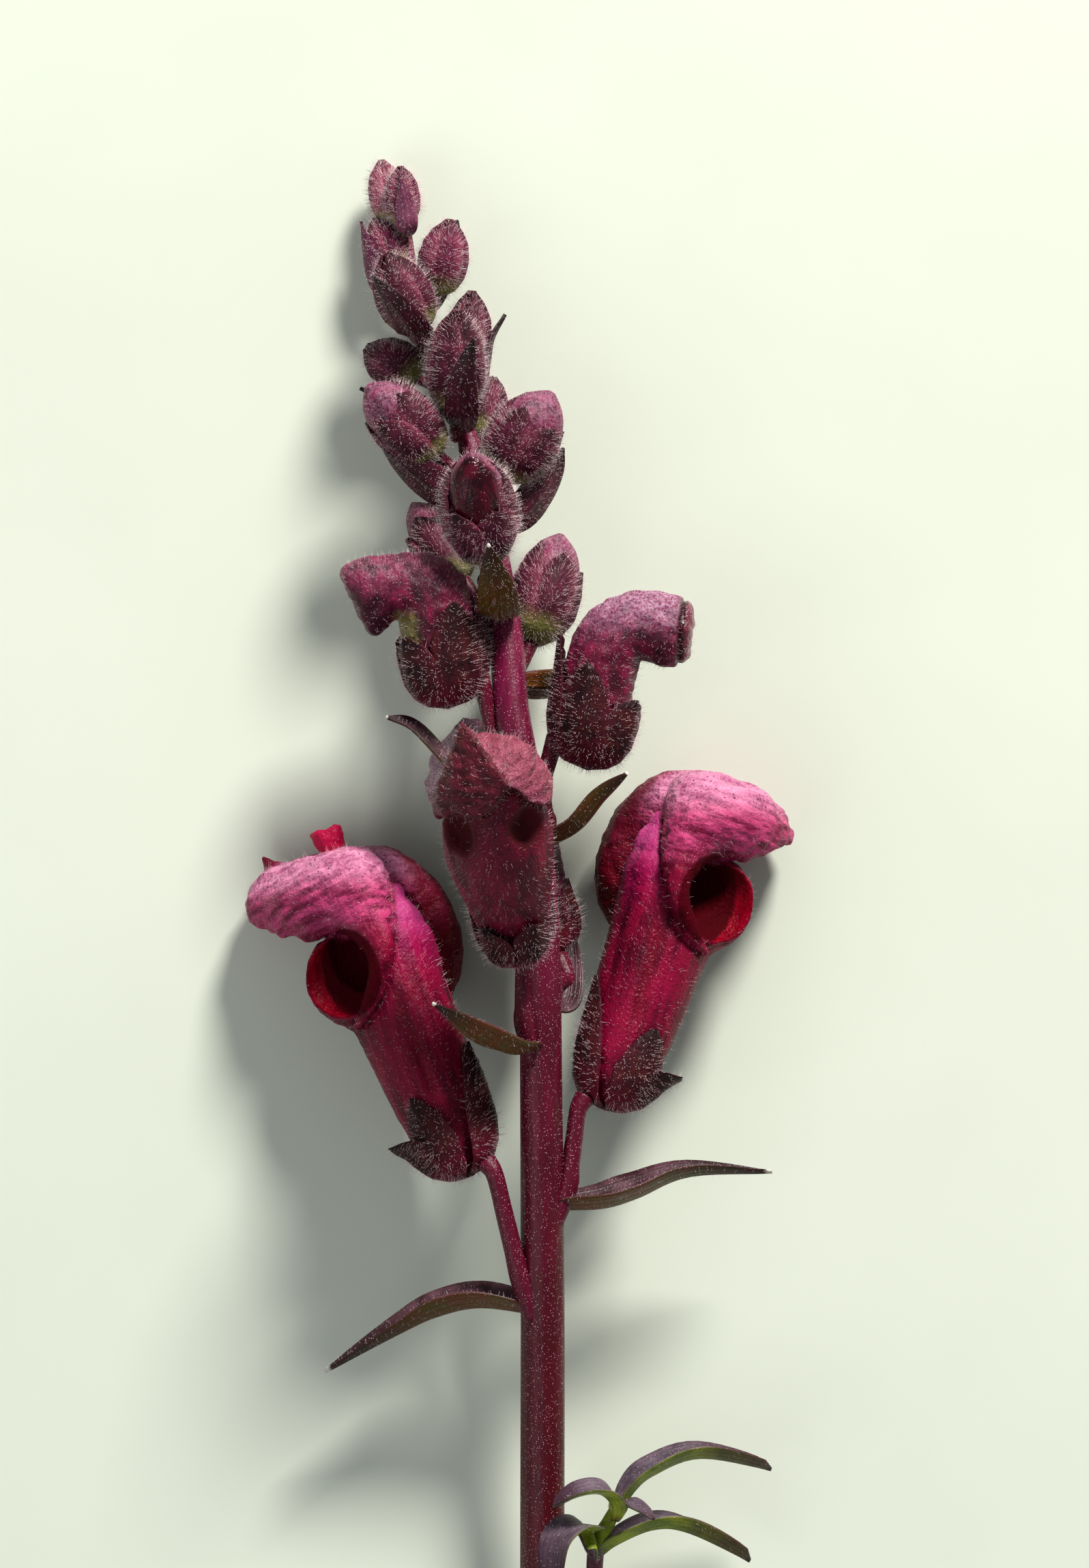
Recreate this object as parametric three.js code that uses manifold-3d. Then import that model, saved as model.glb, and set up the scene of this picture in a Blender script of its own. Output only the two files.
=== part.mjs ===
// A cut flowering stem of a dark crimson snapdragon (Antirrhinum majus), laid on its side.
// The stem runs along +Y from its cut end to its growing tip, +Z is up, and the stem lies on the plane Z = 0.
// All sizes are in millimetres. Every flower is built in a frame of its own, whose axes are
// w (sideways), u (along the tube, away from the stalk) and o (outwards, the way the lips point).
import * as THREE from "three";
import { mergeVertices } from "three/addons/utils/BufferGeometryUtils.js";
import Module from "manifold-3d";

const wasm = await Module();
wasm.setup();

// ---------------------------------------------------------------- driving dimensions

const GAP = 0.3; // clearance kept between neighbouring pieces
const SEPAL_THICKNESS = 0.7;
const BLADE_THICKNESS = 0.62;
const TIP_WIDTH = 0.6; // a leaf's width at its very tip
const SEPALS = 5;
const STEM_SIDES = 10;
const STALK_SIDES = 6;
const SIDEWAYS = new THREE.Vector3(1, 0, 0);

// Centreline of the stem: x, y, z and the stem's radius there.
const STEM = [
  [0, 0, 2.35, 2.35],
  [0, 30, 8.2, 2.35],
  [0, 58.5, 13.6, 2.3],
  [-0.2, 82.8, 17.4, 2.2],
  [-0.3, 94.2, 18.6, 2.15],
  [-0.8, 103.5, 19.0, 2.05],
  [-1.9, 112.1, 18.5, 1.95],
  [-3.2, 120.0, 17.2, 1.82],
  [-3.8, 127.1, 15.5, 1.8],
  [-4.6, 132.8, 13.9, 1.65],
  [-5.6, 139.2, 11.9, 1.4],
  [-6.9, 145.5, 9.8, 1.15],
  [-8.6, 150.5, 8.3, 1.0],
  [-11.0, 155.0, 7.2, 0.9],
  [-12.9, 159.5, 6.2, 0.85],
  [-13.8, 165.0, 5.2, 0.8],
  [-14.5, 170.5, 4.6, 0.6],
];

// The flowers from the lowest, which opened first, to the growing tip.
//   node: height on the stem where the stalk and its bract leave it
//   base: bottom of the calyx     aim: the way the tube points     out: the way the lips point
//   size: scale of an open flower, height and reach of a hooded bud, or length and width of a closed bud
//   bract: points of its midrib, its width, the way its upper face looks and how far its sides fold up
const FLOWERS = [
  {
    name: "flower_01", stage: "open", node: 58.3, stalk: 1.0,
    base: [-8.1, 72.4, 15.2], aim: [-0.33, 0.92, -0.2], out: [-0.866, 0, -0.5], size: 1,
    bract: {
      path: [[-1.2, 57.6, 13.6], [-6.7, 58.3, 12.8], [-11, 57.4, 12.2], [-15, 55.5, 11.6], [-23, 50.8, 10.3]],
      width: 4.4, face: [0.1, 0.9, -0.35], fold: 0.5,
    },
  },
  {
    name: "flower_02", stage: "open", node: 68.2, stalk: 1.0,
    base: [6.7, 79.4, 14.0], aim: [0.268, 0.951, -0.155], out: [0.866, 0, -0.5], size: 1,
    bract: {
      path: [[1.2, 67.6, 15.2], [6.3, 67.6, 14.6], [10, 68.6, 14], [15.4, 70.8, 13], [24.2, 71.2, 11.8]],
      width: 4.2, face: [0, 0.85, -0.5], fold: 0.45,
    },
  },
  {
    name: "flower_03", stage: "opening", node: 85.5, stalk: 1.0,
    base: [-2.6, 95.0, 24.2], aim: [-0.13, 0.84, 0.527], out: [-0.1, 0, 0.995], size: 0.78,
    bract: {
      path: [
        [-0.6, 84.6, 19.4], [-3.4, 84.3, 22.6], [-6.6, 85.8, 25.6], [-9, 87.6, 28.2], [-11.3, 89.5, 30.6],
      ],
      width: 4.2, face: [0.25, 0.75, -0.5], fold: 0.35,
    },
  },
  {
    name: "flower_04", stage: "opening", node: 89.6, stalk: 1.0,
    base: [0.9, 94.6, 11.3], aim: [-0.385, 0.915, -0.11], out: [-0.25, 0, -0.97], size: 0.745,
    bract: {
      path: [[0.8, 89.2, 17.0], [2.6, 89.8, 13.2], [3.4, 92.8, 8.6], [3.7, 96.4, 4.6]],
      width: 3.2, face: [-0.1, 0.6, 0.8], fold: 0.3,
    },
  },
  {
    name: "flower_05", stage: "hooded", node: 107.2, stalk: 0.85,
    base: [-9.6, 121.6, 17.4], aim: [-0.1, 0.99, 0.05], out: [-1, 0, 0.08], size: [14.6, 11.8],
    bract: {
      path: [
        [-2.2, 107.4, 18.8], [-7.4, 111.3, 18.4], [-11, 115.2, 18.2],
        [-13.8, 118.1, 18.4], [-16.4, 119.1, 18.8],
      ],
      width: 2.8, face: [0.5, 0.6, 0.4], fold: 0.35,
    },
  },
  {
    name: "flower_06", stage: "hooded", node: 106.2, stalk: 0.85,
    base: [4.4, 115.2, 18.0], aim: [0.15, 0.98, 0.02], out: [1, 0, 0.04], size: [18.4, 10.9],
    bract: {
      path: [[0.2, 105.8, 18.9], [3.6, 107.6, 20.2], [6.1, 110.6, 21.4], [8.9, 113.3, 22.4]],
      width: 3.4, face: [-0.55, 0.6, -0.5], fold: 0.3,
    },
  },
  {
    name: "bud_07", stage: "tight", node: 123.0, stalk: 0.8,
    base: [-1.4, 126.7, 11.9], aim: [0.24, 0.93, -0.28], out: [0.8, 0, -0.6], size: [12.6, 7.2],
    bract: {
      path: [[-2.6, 122.6, 16.4], [0.2, 122.4, 14.2], [3.6, 123.0, 11.4], [6.6, 125.2, 8.6]],
      width: 3.0, face: [-0.3, 0.75, 0.45], fold: 0.2,
    },
  },
  {
    name: "bud_08", stage: "tight", node: 128.9, stalk: 0.7,
    base: [-8.3, 133.4, 11.0], aim: [-0.5, 0.82, -0.28], out: [-0.8, 0, -0.6], size: [10.4, 5.8],
    bract: {
      path: [[-4.6, 128.4, 14.6], [-7.2, 129.0, 11.0], [-10.8, 130.8, 7.4], [-13.4, 133.6, 4.6]],
      width: 3.0, face: [0.3, 0.75, 0.5], fold: 0.2,
    },
  },
  {
    name: "bud_09", stage: "tight", node: 129.6, stalk: 0.8,
    base: [-5.9, 135.4, 18.6], aim: [-0.11, 0.8, 0.6], out: [-0.1, 0, 1], size: [14.0, 8.6],
    bract: {
      path: [[-4.2, 129.4, 15.8], [-3.6, 129.8, 19.9], [-4.5, 133.0, 24.6], [-5.7, 137.0, 27.8]],
      width: 4.2, face: [0, 0.55, -0.85], fold: 0.2,
    },
  },
  {
    name: "bud_10", stage: "tight", node: 139.0, stalk: 0.65,
    base: [-4.6, 144.1, 11.2], aim: [0.48, 0.86, 0.18], out: [1, 0, 0.3], size: [10.8, 7.4],
    bract: {
      path: [
        [-5.2, 138.8, 12.0], [-1.6, 139.4, 11.0], [1.1, 142.4, 9.4], [2.0, 145.4, 8.6], [2.6, 147.8, 8.4],
      ],
      width: 3.4, face: [-0.75, 0.6, 0.15], fold: 0.2,
    },
  },
  {
    name: "bud_11", stage: "tight", node: 140.6, stalk: 0.65,
    base: [-10.9, 146.5, 12.6], aim: [-0.66, 0.7, 0.26], out: [-1, -0.2, 0.4], size: [10.8, 6.8],
    bract: {
      path: [
        [-6.2, 140.6, 12.2], [-10.2, 140.9, 12.9], [-13.8, 143.2, 13.8],
        [-15.8, 145.6, 14.4], [-16.9, 147.2, 14.8],
      ],
      width: 3.4, face: [0.55, 0.75, 0.15], fold: 0.2,
    },
  },
  {
    name: "bud_12", stage: "closed", node: 146.0, stalk: 0.55,
    base: [-6.9, 148.6, 6.0], aim: [0.2, 0.88, -0.3], out: [0.3, 0, -1], size: [7.4, 4.4],
    bract: {
      path: [[-6.9, 145.0, 7.8], [-5.8, 146.4, 5.0], [-4.2, 148.8, 2.8], [-2.8, 151.2, 2.2]],
      width: 2.6, face: [-0.2, 0.6, 0.75], fold: 0.15,
    },
  },
  {
    name: "bud_13", stage: "closed", node: 149.0, stalk: 0.55,
    base: [-9.2, 150.8, 12.0], aim: [0.02, 0.93, 0.36], out: [0.1, 0, 1], size: [11.6, 6.0],
    bract: {
      path: [[-7.9, 148.1, 10.7], [-7.8, 149.6, 14.8], [-8.0, 153.6, 18.6], [-7.6, 158.3, 20.8]],
      width: 3.4, face: [0, 0.5, -0.85], fold: 0.2,
    },
  },
  {
    name: "bud_14", stage: "closed", node: 152.6, stalk: 0.5,
    base: [-8.5, 154.2, 6.2], aim: [0.06, 0.97, -0.1], out: [0.9, 0, -0.4], size: [10.2, 4.9],
    bract: {
      path: [[-9.3, 152, 8], [-5.6, 153.2, 8.4], [-4.5, 156.6, 7], [-4.4, 159.4, 6.2], [-3.8, 161.7, 6.2]],
      width: 2.4, face: [-0.9, 0.4, 0.1], fold: 0.15,
    },
  },
  {
    name: "bud_15", stage: "closed", node: 153.6, stalk: 0.5,
    base: [-13.5, 154.9, 6.8], aim: [-0.82, 0.56, -0.1], out: [-0.8, -0.5, -0.2], size: [6.8, 5.2],
    bract: {
      path: [[-11.1, 152.6, 6.6], [-14.0, 152.0, 5.2], [-17.0, 152.4, 4.8], [-19.4, 153.6, 4.8]],
      width: 2.4, face: [0.2, 0.95, 0.2], fold: 0.15,
    },
  },
  {
    name: "bud_16", stage: "closed", node: 158.6, stalk: 0.5,
    base: [-12.9, 159.8, 9.0], aim: [-0.36, 0.88, 0.26], out: [-0.7, 0, 0.7], size: [9.2, 5.8],
    bract: {
      path: [[-12.9, 157.9, 8.1], [-14.6, 158.8, 10.6], [-17.2, 161.6, 13.4], [-18.9, 164.8, 14.4]],
      width: 3.0, face: [0.5, 0.5, -0.7], fold: 0.15,
    },
  },
  {
    name: "bud_17", stage: "closed", node: 162.4, stalk: 0.45,
    base: [-11.3, 163.8, 6.8], aim: [0.14, 0.96, 0.16], out: [0.7, 0, 0.7], size: [7.6, 4.8],
    bract: {
      path: [[-12.2, 161.1, 7.2], [-9.5, 162.2, 8.4], [-8.5, 166.6, 10.4], [-8.4, 171.4, 11.2]],
      width: 2.8, face: [-0.5, 0.45, -0.7], fold: 0.15,
    },
  },
  {
    name: "bud_18", stage: "closed", node: 165.4, stalk: 0.45,
    base: [-16.7, 165.9, 4.6], aim: [-0.4, 0.92, -0.05], out: [-1, 0, 0], size: [5.8, 4.0],
    bract: {
      path: [[-15.1, 163.2, 5.3], [-17.6, 164.0, 4.8], [-20.0, 167.4, 4.6], [-20.4, 171.0, 4.6]],
      width: 2.4, face: [0.8, 0.55, 0], fold: 0.15,
    },
  },
  {
    name: "bud_19", stage: "closed", node: 169.2, stalk: 0.4,
    base: [-15.6, 171.7, 4.1], aim: [-0.26, 0.96, 0], out: [-1, 0, 0], size: [5.8, 3.2],
    bract: {
      path: [[-14.5, 168.0, 3.5], [-15.3, 170.4, 2.8], [-16.2, 173.8, 2.0], [-17.0, 177.4, 2.2]],
      width: 2.2, face: [0.1, 0.4, 0.9], fold: 0.15,
    },
  },
  {
    name: "bud_20", stage: "closed", node: 169.9, stalk: 0.4,
    base: [-13.7, 171.3, 6.1], aim: [-0.1, 0.97, 0.12], out: [0.5, 0, 0.85], size: [5.8, 3.1],
    bract: {
      path: [[-14.4, 168.4, 6.3], [-14.1, 169.7, 7.7], [-14.3, 173.2, 9.2], [-15.0, 176.6, 9.6]],
      width: 2.6, face: [0, 0.4, -0.9], fold: 0.15,
    },
  },
];

// The side shoot that leaves the stem low down: its axis with radii, and the midribs of its leaves.
const SHOOT = [
  [0.6, 18.6, 6.0, 1.0],
  [3.4, 21.6, 7.2, 0.95],
  [5.2, 26.6, 9.6, 0.85],
  [5.7, 31.6, 11.8, 0.9],
  [7.0, 34.4, 12.8, 0.75],
  [8.3, 37.0, 13.4, 0.5],
];
const SHOOT_LEAVES = [
  {
    path: [[8.2, 36.4, 13.3], [9.4, 39.2, 13.2], [11.4, 41.2, 12.8], [16.4, 42.9, 11.6], [24.3, 40.9, 8.6]],
    width: 3.6, face: [-0.4, 0.8, 0.5], fold: 0.4,
  },
  {
    path: [[5.9, 31.6, 11.6], [7.8, 33.7, 11.6], [11.7, 35.4, 11.0], [15.4, 34.9, 9.8], [22.1, 31.0, 6.6]],
    width: 3.2, face: [-0.3, 0.85, 0.45], fold: 0.4,
  },
  {
    path: [[7.4, 35.4, 13.2], [7.7, 37.6, 15.0], [6.2, 39.0, 16.6], [3.6, 38.7, 17.0], [1.1, 37.2, 16.6]],
    width: 3.0, face: [0.35, 0.85, 0.4], fold: 0.35,
  },
  {
    path: [[5.6, 31.4, 12.2], [5.1, 34.0, 13.8], [3.5, 34.9, 15.6], [1.7, 33.2, 16.6], [1.2, 28.0, 16.2]],
    width: 4.4, face: [-0.5, 0.55, 0.65], fold: 0.3,
  },
  {
    path: [[8.3, 36.6, 13.6], [9.4, 36.7, 15.2], [10.6, 36.1, 16.4], [11.7, 35.3, 17.2]],
    width: 1.9, face: [-0.2, 0.8, 0.5], fold: 0.35,
  },
];

// Parts of an open corolla. A tube or beak row is u, o, radius; a roll row is w, u, o, radius and is made on
// both sides; a swelling is an ellipsoid, given by its centre and its radii as w, u, o.
const TUBE_OFFSET = 0.5; // how far outwards of the base the middle of the tube and calyx lies
const OPEN = {
  tube: [
    [1.6, 0.5, 2.0], [2.4, 0.5, 3.2], [5.0, 0.5, 3.95], [9.0, 0.5, 4.2], [13.5, 0.6, 4.5],
    [17.8, 1.2, 4.9], [21.5, 1.0, 5.0], [25.0, 0.2, 4.3], [27.8, -1.0, 2.9], [29.2, -1.8, 1.0],
  ],
  roll: [
    [1.6, 33.4, 1.6, 2.0], [3.6, 32.2, -0.6, 2.7], [5.6, 29.0, -1.9, 3.1],
    [6.8, 25.0, -1.7, 3.1], [7.2, 21.6, -0.6, 2.5], [6.6, 18.8, 1.0, 1.6], [5.4, 17.2, 2.0, 0.7],
  ],
  head: { at: [0, 28.6, 3.4], radii: [6.8, 6.6, 6.0] },
  hood: { at: [0, 31.6, 5.2], radii: [6.6, 4.1, 5.8] },
  beak: [[32.0, 7.2, 3.3], [32.2, 9.6, 2.3], [32.6, 11.6, 1.2], [33.0, 12.9, 0.4]],
  lip: { at: [0, 23.2, 4.4], radii: [7.4, 6.0, 5.2] },
  pocket: { at: [6.8, 22.8, 3.0], radii: [4.9, 4.3, 3.9] },
};
const OPENING = { breadth: 0.84, reach: 0.8, droop: 0.9 }; // how a flower that is only opening differs
// A hooded bud's rows are u and o as shares of its height and reach, and the radius.
const HOODED_TUBE = [
  [0.1, 0.04, 1.8], [0.15, 0.04, 2.8], [0.24, 0.04, 3.5], [0.4, 0.05, 3.65], [0.54, 0.07, 3.6],
  [0.66, 0.13, 3.6], [0.76, 0.26, 3.7], [0.8, 0.42, 3.7], [0.8, 0.6, 3.6], [0.78, 0.78, 3.0],
  [0.77, 0.88, 1.7],
];
// Outer face of an open calyx: height u and radius. The sepals' directions run round the tube from
// outwards, in degrees, with the height of each sepal's tip.
const CALYX_PROFILE = [[-1.6, 0], [-1.35, 2.0], [-0.5, 3.6], [1.2, 4.8], [3.6, 5.2], [8.0, 5.4], [13, 5.7]];
const SEPAL_TIPS = [[36, 7.2], [108, 9.8], [180, 12.2], [252, 9.8], [324, 7.2]];
const SINUS = 2.4; // height of the notches between the sepals
const HOODED_CALYX = 0.9; // scale of a hooded bud's calyx
// Rows of a calyx: shares of the height of its cup below the notches, then of the sepals above that.
const CUP = { perSepal: 4, outside: [0.06, 0.55], sepals: [0.5, 1], inside: [0.6] };

// A closed bud: shares of its length with shares of its half width; where its sepals part and end.
const BUD_PROFILE = [
  [0, 0], [0.03, 0.42], [0.12, 0.78], [0.3, 1], [0.52, 1], [0.74, 0.86], [0.9, 0.58], [1.02, 0.3],
];
const BUD_LEAN = 0.35; // how far outwards the tip of a bud leans
const TIGHT_TIPS = [[36, 0.78], [108, 0.86], [180, 0.91], [252, 0.86], [324, 0.8]];
const TIGHT_SINUS = 0.5;
// The petals inside: shares of the bud's length with shares of its half width.
const TIGHT_PETALS = [
  [0.32, 0.5], [0.4, 0.96], [0.55, 1], [0.74, 0.86], [0.9, 0.56], [0.98, 0.44], [1.02, 0.36],
];
const PLAY = 0.3; // extra room left round a corolla inside its calyx
const HUG = GAP + 0.15; // distance at which a bract follows the bud that it stands against
const CLOSED_ROWS = [0.07, 0.25, 0.48, 0.7, 0.88];
const CLOSED_SIDES = 15;
const SEPAL_RELIEF = 0.07; // depth of the grooves between a closed bud's sepals, as a share of its radius

const PALETTE = {
  stem: { color: 0x5c0a1c, roughness: 0.55 },
  petal: { color: 0x7a0a30, roughness: 0.45 },
  sepal: { color: 0x34101a, roughness: 0.7 },
  bract: { color: 0x4a2a16, roughness: 0.6 },
  leaf: { color: 0x4d5a26, roughness: 0.55 },
};
const finish = (look) => new THREE.MeshStandardMaterial({ ...look, metalness: 0 });
const MATERIALS = Object.fromEntries(Object.entries(PALETTE).map(([slot, look]) => [slot, finish(look)]));

// ---------------------------------------------------------------- geometry helpers

const vec = (a) => new THREE.Vector3(...a);
const smoothCurve = (points) => new THREE.CatmullRomCurve3(points.map(vec), false, "centripetal");

// A manifold-3d solid from a closed three.js geometry, turned the right way out.
function solidOf(geometry) {
  const bare = new THREE.BufferGeometry().setAttribute("position", geometry.getAttribute("position"));
  bare.setIndex(geometry.getIndex());
  const merged = mergeVertices(bare, 1e-4);
  const at = merged.getAttribute("position").array;
  const corner = (k) => new THREE.Vector3().fromArray(at, 3 * k);
  const faces = [];
  let volume = 0;
  for (let i = 0; i < merged.index.count; i += 3) {
    const [a, b, c] = merged.index.array.slice(i, i + 3);
    if (a === b || b === c || a === c) continue;
    faces.push([a, b, c]);
    volume += corner(a).dot(corner(b).cross(corner(c))) / 6;
  }
  const outward = volume < 0 ? faces.map(([a, b, c]) => [a, c, b]) : faces;
  return new wasm.Manifold(
    new wasm.Mesh({ numProp: 3, vertProperties: at, triVerts: new Uint32Array(outward.flat()) }),
  );
}

// A closed surface through rings of points, each with the same count. The first and last ring are capped.
function loft(rings) {
  const sides = rings[0].length;
  const points = rings.flat();
  const faces = [];
  for (let r = 0; r + 1 < rings.length; r++)
    for (let s = 0; s < sides; s++) {
      const [a, b] = [r * sides + s, r * sides + ((s + 1) % sides)];
      faces.push(a, b, b + sides, a, b + sides, a + sides);
    }
  for (const [r, last] of [[0, false], [rings.length - 1, true]]) {
    const middle = rings[r].reduce((sum, p) => sum.add(p), new THREE.Vector3()).divideScalar(sides);
    const hub = points.push(middle) - 1;
    for (let s = 0; s < sides; s++) {
      const [a, b] = [r * sides + s, r * sides + ((s + 1) % sides)];
      faces.push(...(last ? [a, b, hub] : [b, a, hub]));
    }
  }
  const geometry = new THREE.BufferGeometry().setFromPoints(points);
  geometry.setIndex(faces);
  return geometry;
}

// A round rod of changing radius along a smooth curve. A row is x, y, z, radius. Wide stretches it sideways.
function taper(rows, { sides, steps, grow, wide = 1, across = new THREE.Vector3(0, 0, 1) }) {
  const curve = smoothCurve(rows.map((row) => row.slice(0, 3)));
  const radii = smoothCurve(rows.map((row, i) => [i, row[3], 0]));
  const rings = [];
  for (let k = 0; k <= steps; k++) {
    const centre = curve.getPoint(k / steps);
    const tangent = curve.getTangent(k / steps);
    const radius = radii.getPoint(k / steps).y + grow;
    if (k === 0) centre.addScaledVector(tangent, -grow);
    if (k === steps) centre.addScaledVector(tangent, grow);
    across = across.clone().addScaledVector(tangent, -across.dot(tangent)).normalize();
    const other = tangent.clone().cross(across);
    const corner = (_, s) => {
      const angle = (2 * Math.PI * s) / sides;
      const point = centre.clone().addScaledVector(across, radius * wide * Math.cos(angle));
      return point.addScaledVector(other, radius * Math.sin(angle));
    };
    rings.push(Array.from({ length: sides }, corner));
  }
  return solidOf(loft(rings));
}

function ellipsoid({ at, radii }, grow, sides = 9) {
  const geometry = new THREE.SphereGeometry(1, sides, Math.round(sides * 0.6));
  geometry.scale(...radii.map((r) => r + grow));
  geometry.translate(...at);
  return solidOf(geometry);
}

const mirrored = (solid) => solid.mirror([1, 0, 0]);
const union = (solids) => solids.reduce((all, one) => all.add(one));

// The flower's own frame as a matrix: w, u and o become directions in the stem's frame.
function frameOf({ base, aim, out }) {
  const u = vec(aim).normalize();
  const o = vec(out).addScaledVector(u, -vec(out).dot(u)).normalize();
  return new THREE.Matrix4().makeBasis(u.clone().cross(o), u, o).setPosition(vec(base));
}
const placed = (solid, flower) => solid.transform(frameOf(flower).toArray());

// ---------------------------------------------------------------- petals

// A corolla with open lips: tube, a roll on each side behind the face, hood, beak and lower lip,
// with a deep pocket between the lips on each side.
function openCorolla({ size, stage }, grow) {
  const { breadth, reach, droop } = stage === "opening" ? OPENING : { breadth: 1, reach: 1, droop: 0 };
  const scaled = (rows) => rows.map(([w, u, o, r]) => [w * breadth, u, o, r].map((v) => v * size));
  const middleRows = (rows) => scaled(rows.map(([u, o, r]) => [0, u, o, r]));
  const swelling = ({ at, radii }, extra, sides) => {
    const narrowed = ([w, u, o]) => [w * breadth * size, u * size, o * size];
    return ellipsoid({ at: narrowed(at), radii: narrowed(radii) }, extra, sides);
  };
  const start = OPEN.beak[0][1];
  const beak = OPEN.beak.map(([u, o, r], i) => [u - droop * i, start + (o - start) * reach, r]);
  const roll = taper(scaled(OPEN.roll), { sides: 6, steps: 6, grow });
  const body = union([
    taper(middleRows(OPEN.tube), { sides: 11, steps: 8, grow, across: SIDEWAYS }),
    roll,
    mirrored(roll),
    swelling(OPEN.head, grow),
    swelling(OPEN.hood, grow),
    taper(middleRows(beak), { sides: 6, steps: 3, grow, wide: 1.5, across: SIDEWAYS }),
    swelling(OPEN.lip, grow),
  ]);
  const pocket = swelling(OPEN.pocket, -grow, 8);
  return body.subtract(pocket).subtract(mirrored(pocket));
}

// A bud whose folded upper lip already stands out of the calyx as a hood.
function hoodedCorolla({ size: [height, reach] }, grow) {
  const rows = HOODED_TUBE.map(([u, o, r]) => [0, u * height, o * reach, r]);
  return taper(rows, { sides: 10, steps: 12, grow, across: SIDEWAYS });
}

// The corolla that still lies folded inside its calyx, with only its tip standing out.
function tightCorolla({ size: [length, width] }, grow) {
  const inside = (share) => (share * width) / 2 - SEPAL_THICKNESS - GAP - PLAY;
  const rows = TIGHT_PETALS.map(([u, share]) => [0, u * length, BUD_LEAN * u, Math.max(0.3, inside(share))]);
  return taper(rows, { sides: 9, steps: 6, grow, across: SIDEWAYS });
}

// ---------------------------------------------------------------- sepals

// The value of a profile of [height, value] rows at a height.
function profileAt(profile, height) {
  const found = profile.findIndex(([h]) => h >= height);
  const i = found < 0 ? profile.length - 1 : Math.max(1, found);
  const [[h0, v0], [h1, v1]] = [profile[i - 1], profile[i]];
  return v0 + ((v1 - v0) * (height - h0)) / (h1 - h0);
}

const turnBetween = (a, b) => Math.abs(((a - b + 540) % 360) - 180);

// Height of a calyx rim at an angle: low between the sepals, rising to a tip on each.
function rimHeight(degrees, tips, sinus) {
  const spread = 180 / SEPALS;
  const [centre, tip] = tips.find(([a]) => turnBetween(degrees, a) <= spread + 1e-6);
  return sinus + (tip - sinus) * (1 - (turnBetween(degrees, centre) / spread) ** 1.7);
}

// A calyx of five sepals as one closed surface: up the outside, over the rim and down the inside.
// profile gives the outer radius at a height; lean(u) gives how far outwards its middle lies there.
function sepalCup({ profile, lean, tips, sinus }, grow) {
  const [bottom] = profile[0];
  const columns = SEPALS * CUP.perSepal;
  const brim = bottom + (sinus - bottom) * 0.8;
  const ring = (levelAt, inside) =>
    Array.from({ length: columns }, (_, c) => {
      const degrees = (360 * c) / columns;
      const level = levelAt(rimHeight(degrees, tips, sinus));
      const outer = profileAt(profile, level) + grow;
      const radius = inside ? outer - SEPAL_THICKNESS - 2 * grow : outer;
      const angle = THREE.MathUtils.degToRad(degrees);
      return new THREE.Vector3(radius * Math.sin(angle), level, lean(level) + radius * Math.cos(angle));
    });
  const cupLevel = (share, inside) => bottom + (brim - bottom) * share + (inside ? grow : 0);
  const cupRing = (share, inside) => ring(() => cupLevel(share, inside), inside);
  const sepalRing = (share, inside) => ring((rim) => brim + (rim + grow - brim) * share, inside);
  const rings = [
    ...CUP.outside.map((share) => cupRing(share, false)),
    ...CUP.sepals.map((share) => sepalRing(share, false)),
    ...CUP.sepals.toReversed().map((share) => sepalRing(share, true)),
    ...CUP.inside.map((share) => cupRing(share, true)),
  ];
  return solidOf(loft(rings));
}

// The calyx round the tube of a flower whose lips or hood stand out of it. Its sepals keep their thickness.
function openCalyx({ size, stage }, grow) {
  const scale = stage === "hooded" ? HOODED_CALYX : size;
  const spare = (1 - scale) * (SEPAL_THICKNESS + GAP);
  const cup = {
    profile: CALYX_PROFILE.map(([u, r]) => [u * scale, r * scale + spare]),
    lean: () => TUBE_OFFSET * scale,
    tips: SEPAL_TIPS.map(([a, height]) => [a, height * scale]),
    sinus: SINUS * scale,
  };
  return sepalCup(cup, grow);
}

// The calyx that wraps a bud nearly to its tip.
function tightCalyx({ size: [length, width] }, grow) {
  const cup = {
    profile: BUD_PROFILE.map(([u, share]) => [u * length, (share * width) / 2]),
    lean: (u) => (BUD_LEAN * u) / length,
    tips: TIGHT_TIPS.map(([a, share]) => [a, share * length]),
    sinus: TIGHT_SINUS * length,
  };
  return sepalCup(cup, grow);
}

// A young bud, quite covered by its sepals, whose edges show as grooves along it.
function closedBud({ size: [length, width] }, grow) {
  const ring = (share) =>
    Array.from({ length: CLOSED_SIDES }, (_, c) => {
      const angle = (2 * Math.PI * c) / CLOSED_SIDES;
      const relief = 1 + SEPAL_RELIEF * Math.cos(SEPALS * angle) * Math.sin(Math.PI * share);
      const radius = (profileAt(BUD_PROFILE, share) * relief * width) / 2 + grow;
      const outwards = BUD_LEAN * share + radius * Math.cos(angle);
      return new THREE.Vector3(radius * Math.sin(angle), share * length, outwards);
    });
  const end = (share, height) => ring(share).map((p) => p.lerp(new THREE.Vector3(0, height, 0), 0.75));
  return solidOf(loft([end(0.02, -grow), ...CLOSED_ROWS.map(ring), end(1, length + grow)]));
}

// ---------------------------------------------------------------- stem, stalks and leaves

const stemCurve = smoothCurve(STEM.map((row) => row.slice(0, 3)));

// The point of the stem's centreline at a height.
function stemAt(height) {
  let [low, high] = [0, 1];
  for (let i = 0; i < 30; i++) {
    const middle = (low + high) / 2;
    if (stemCurve.getPoint(middle).y < height) low = middle;
    else high = middle;
  }
  return stemCurve.getPoint(low);
}

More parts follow.
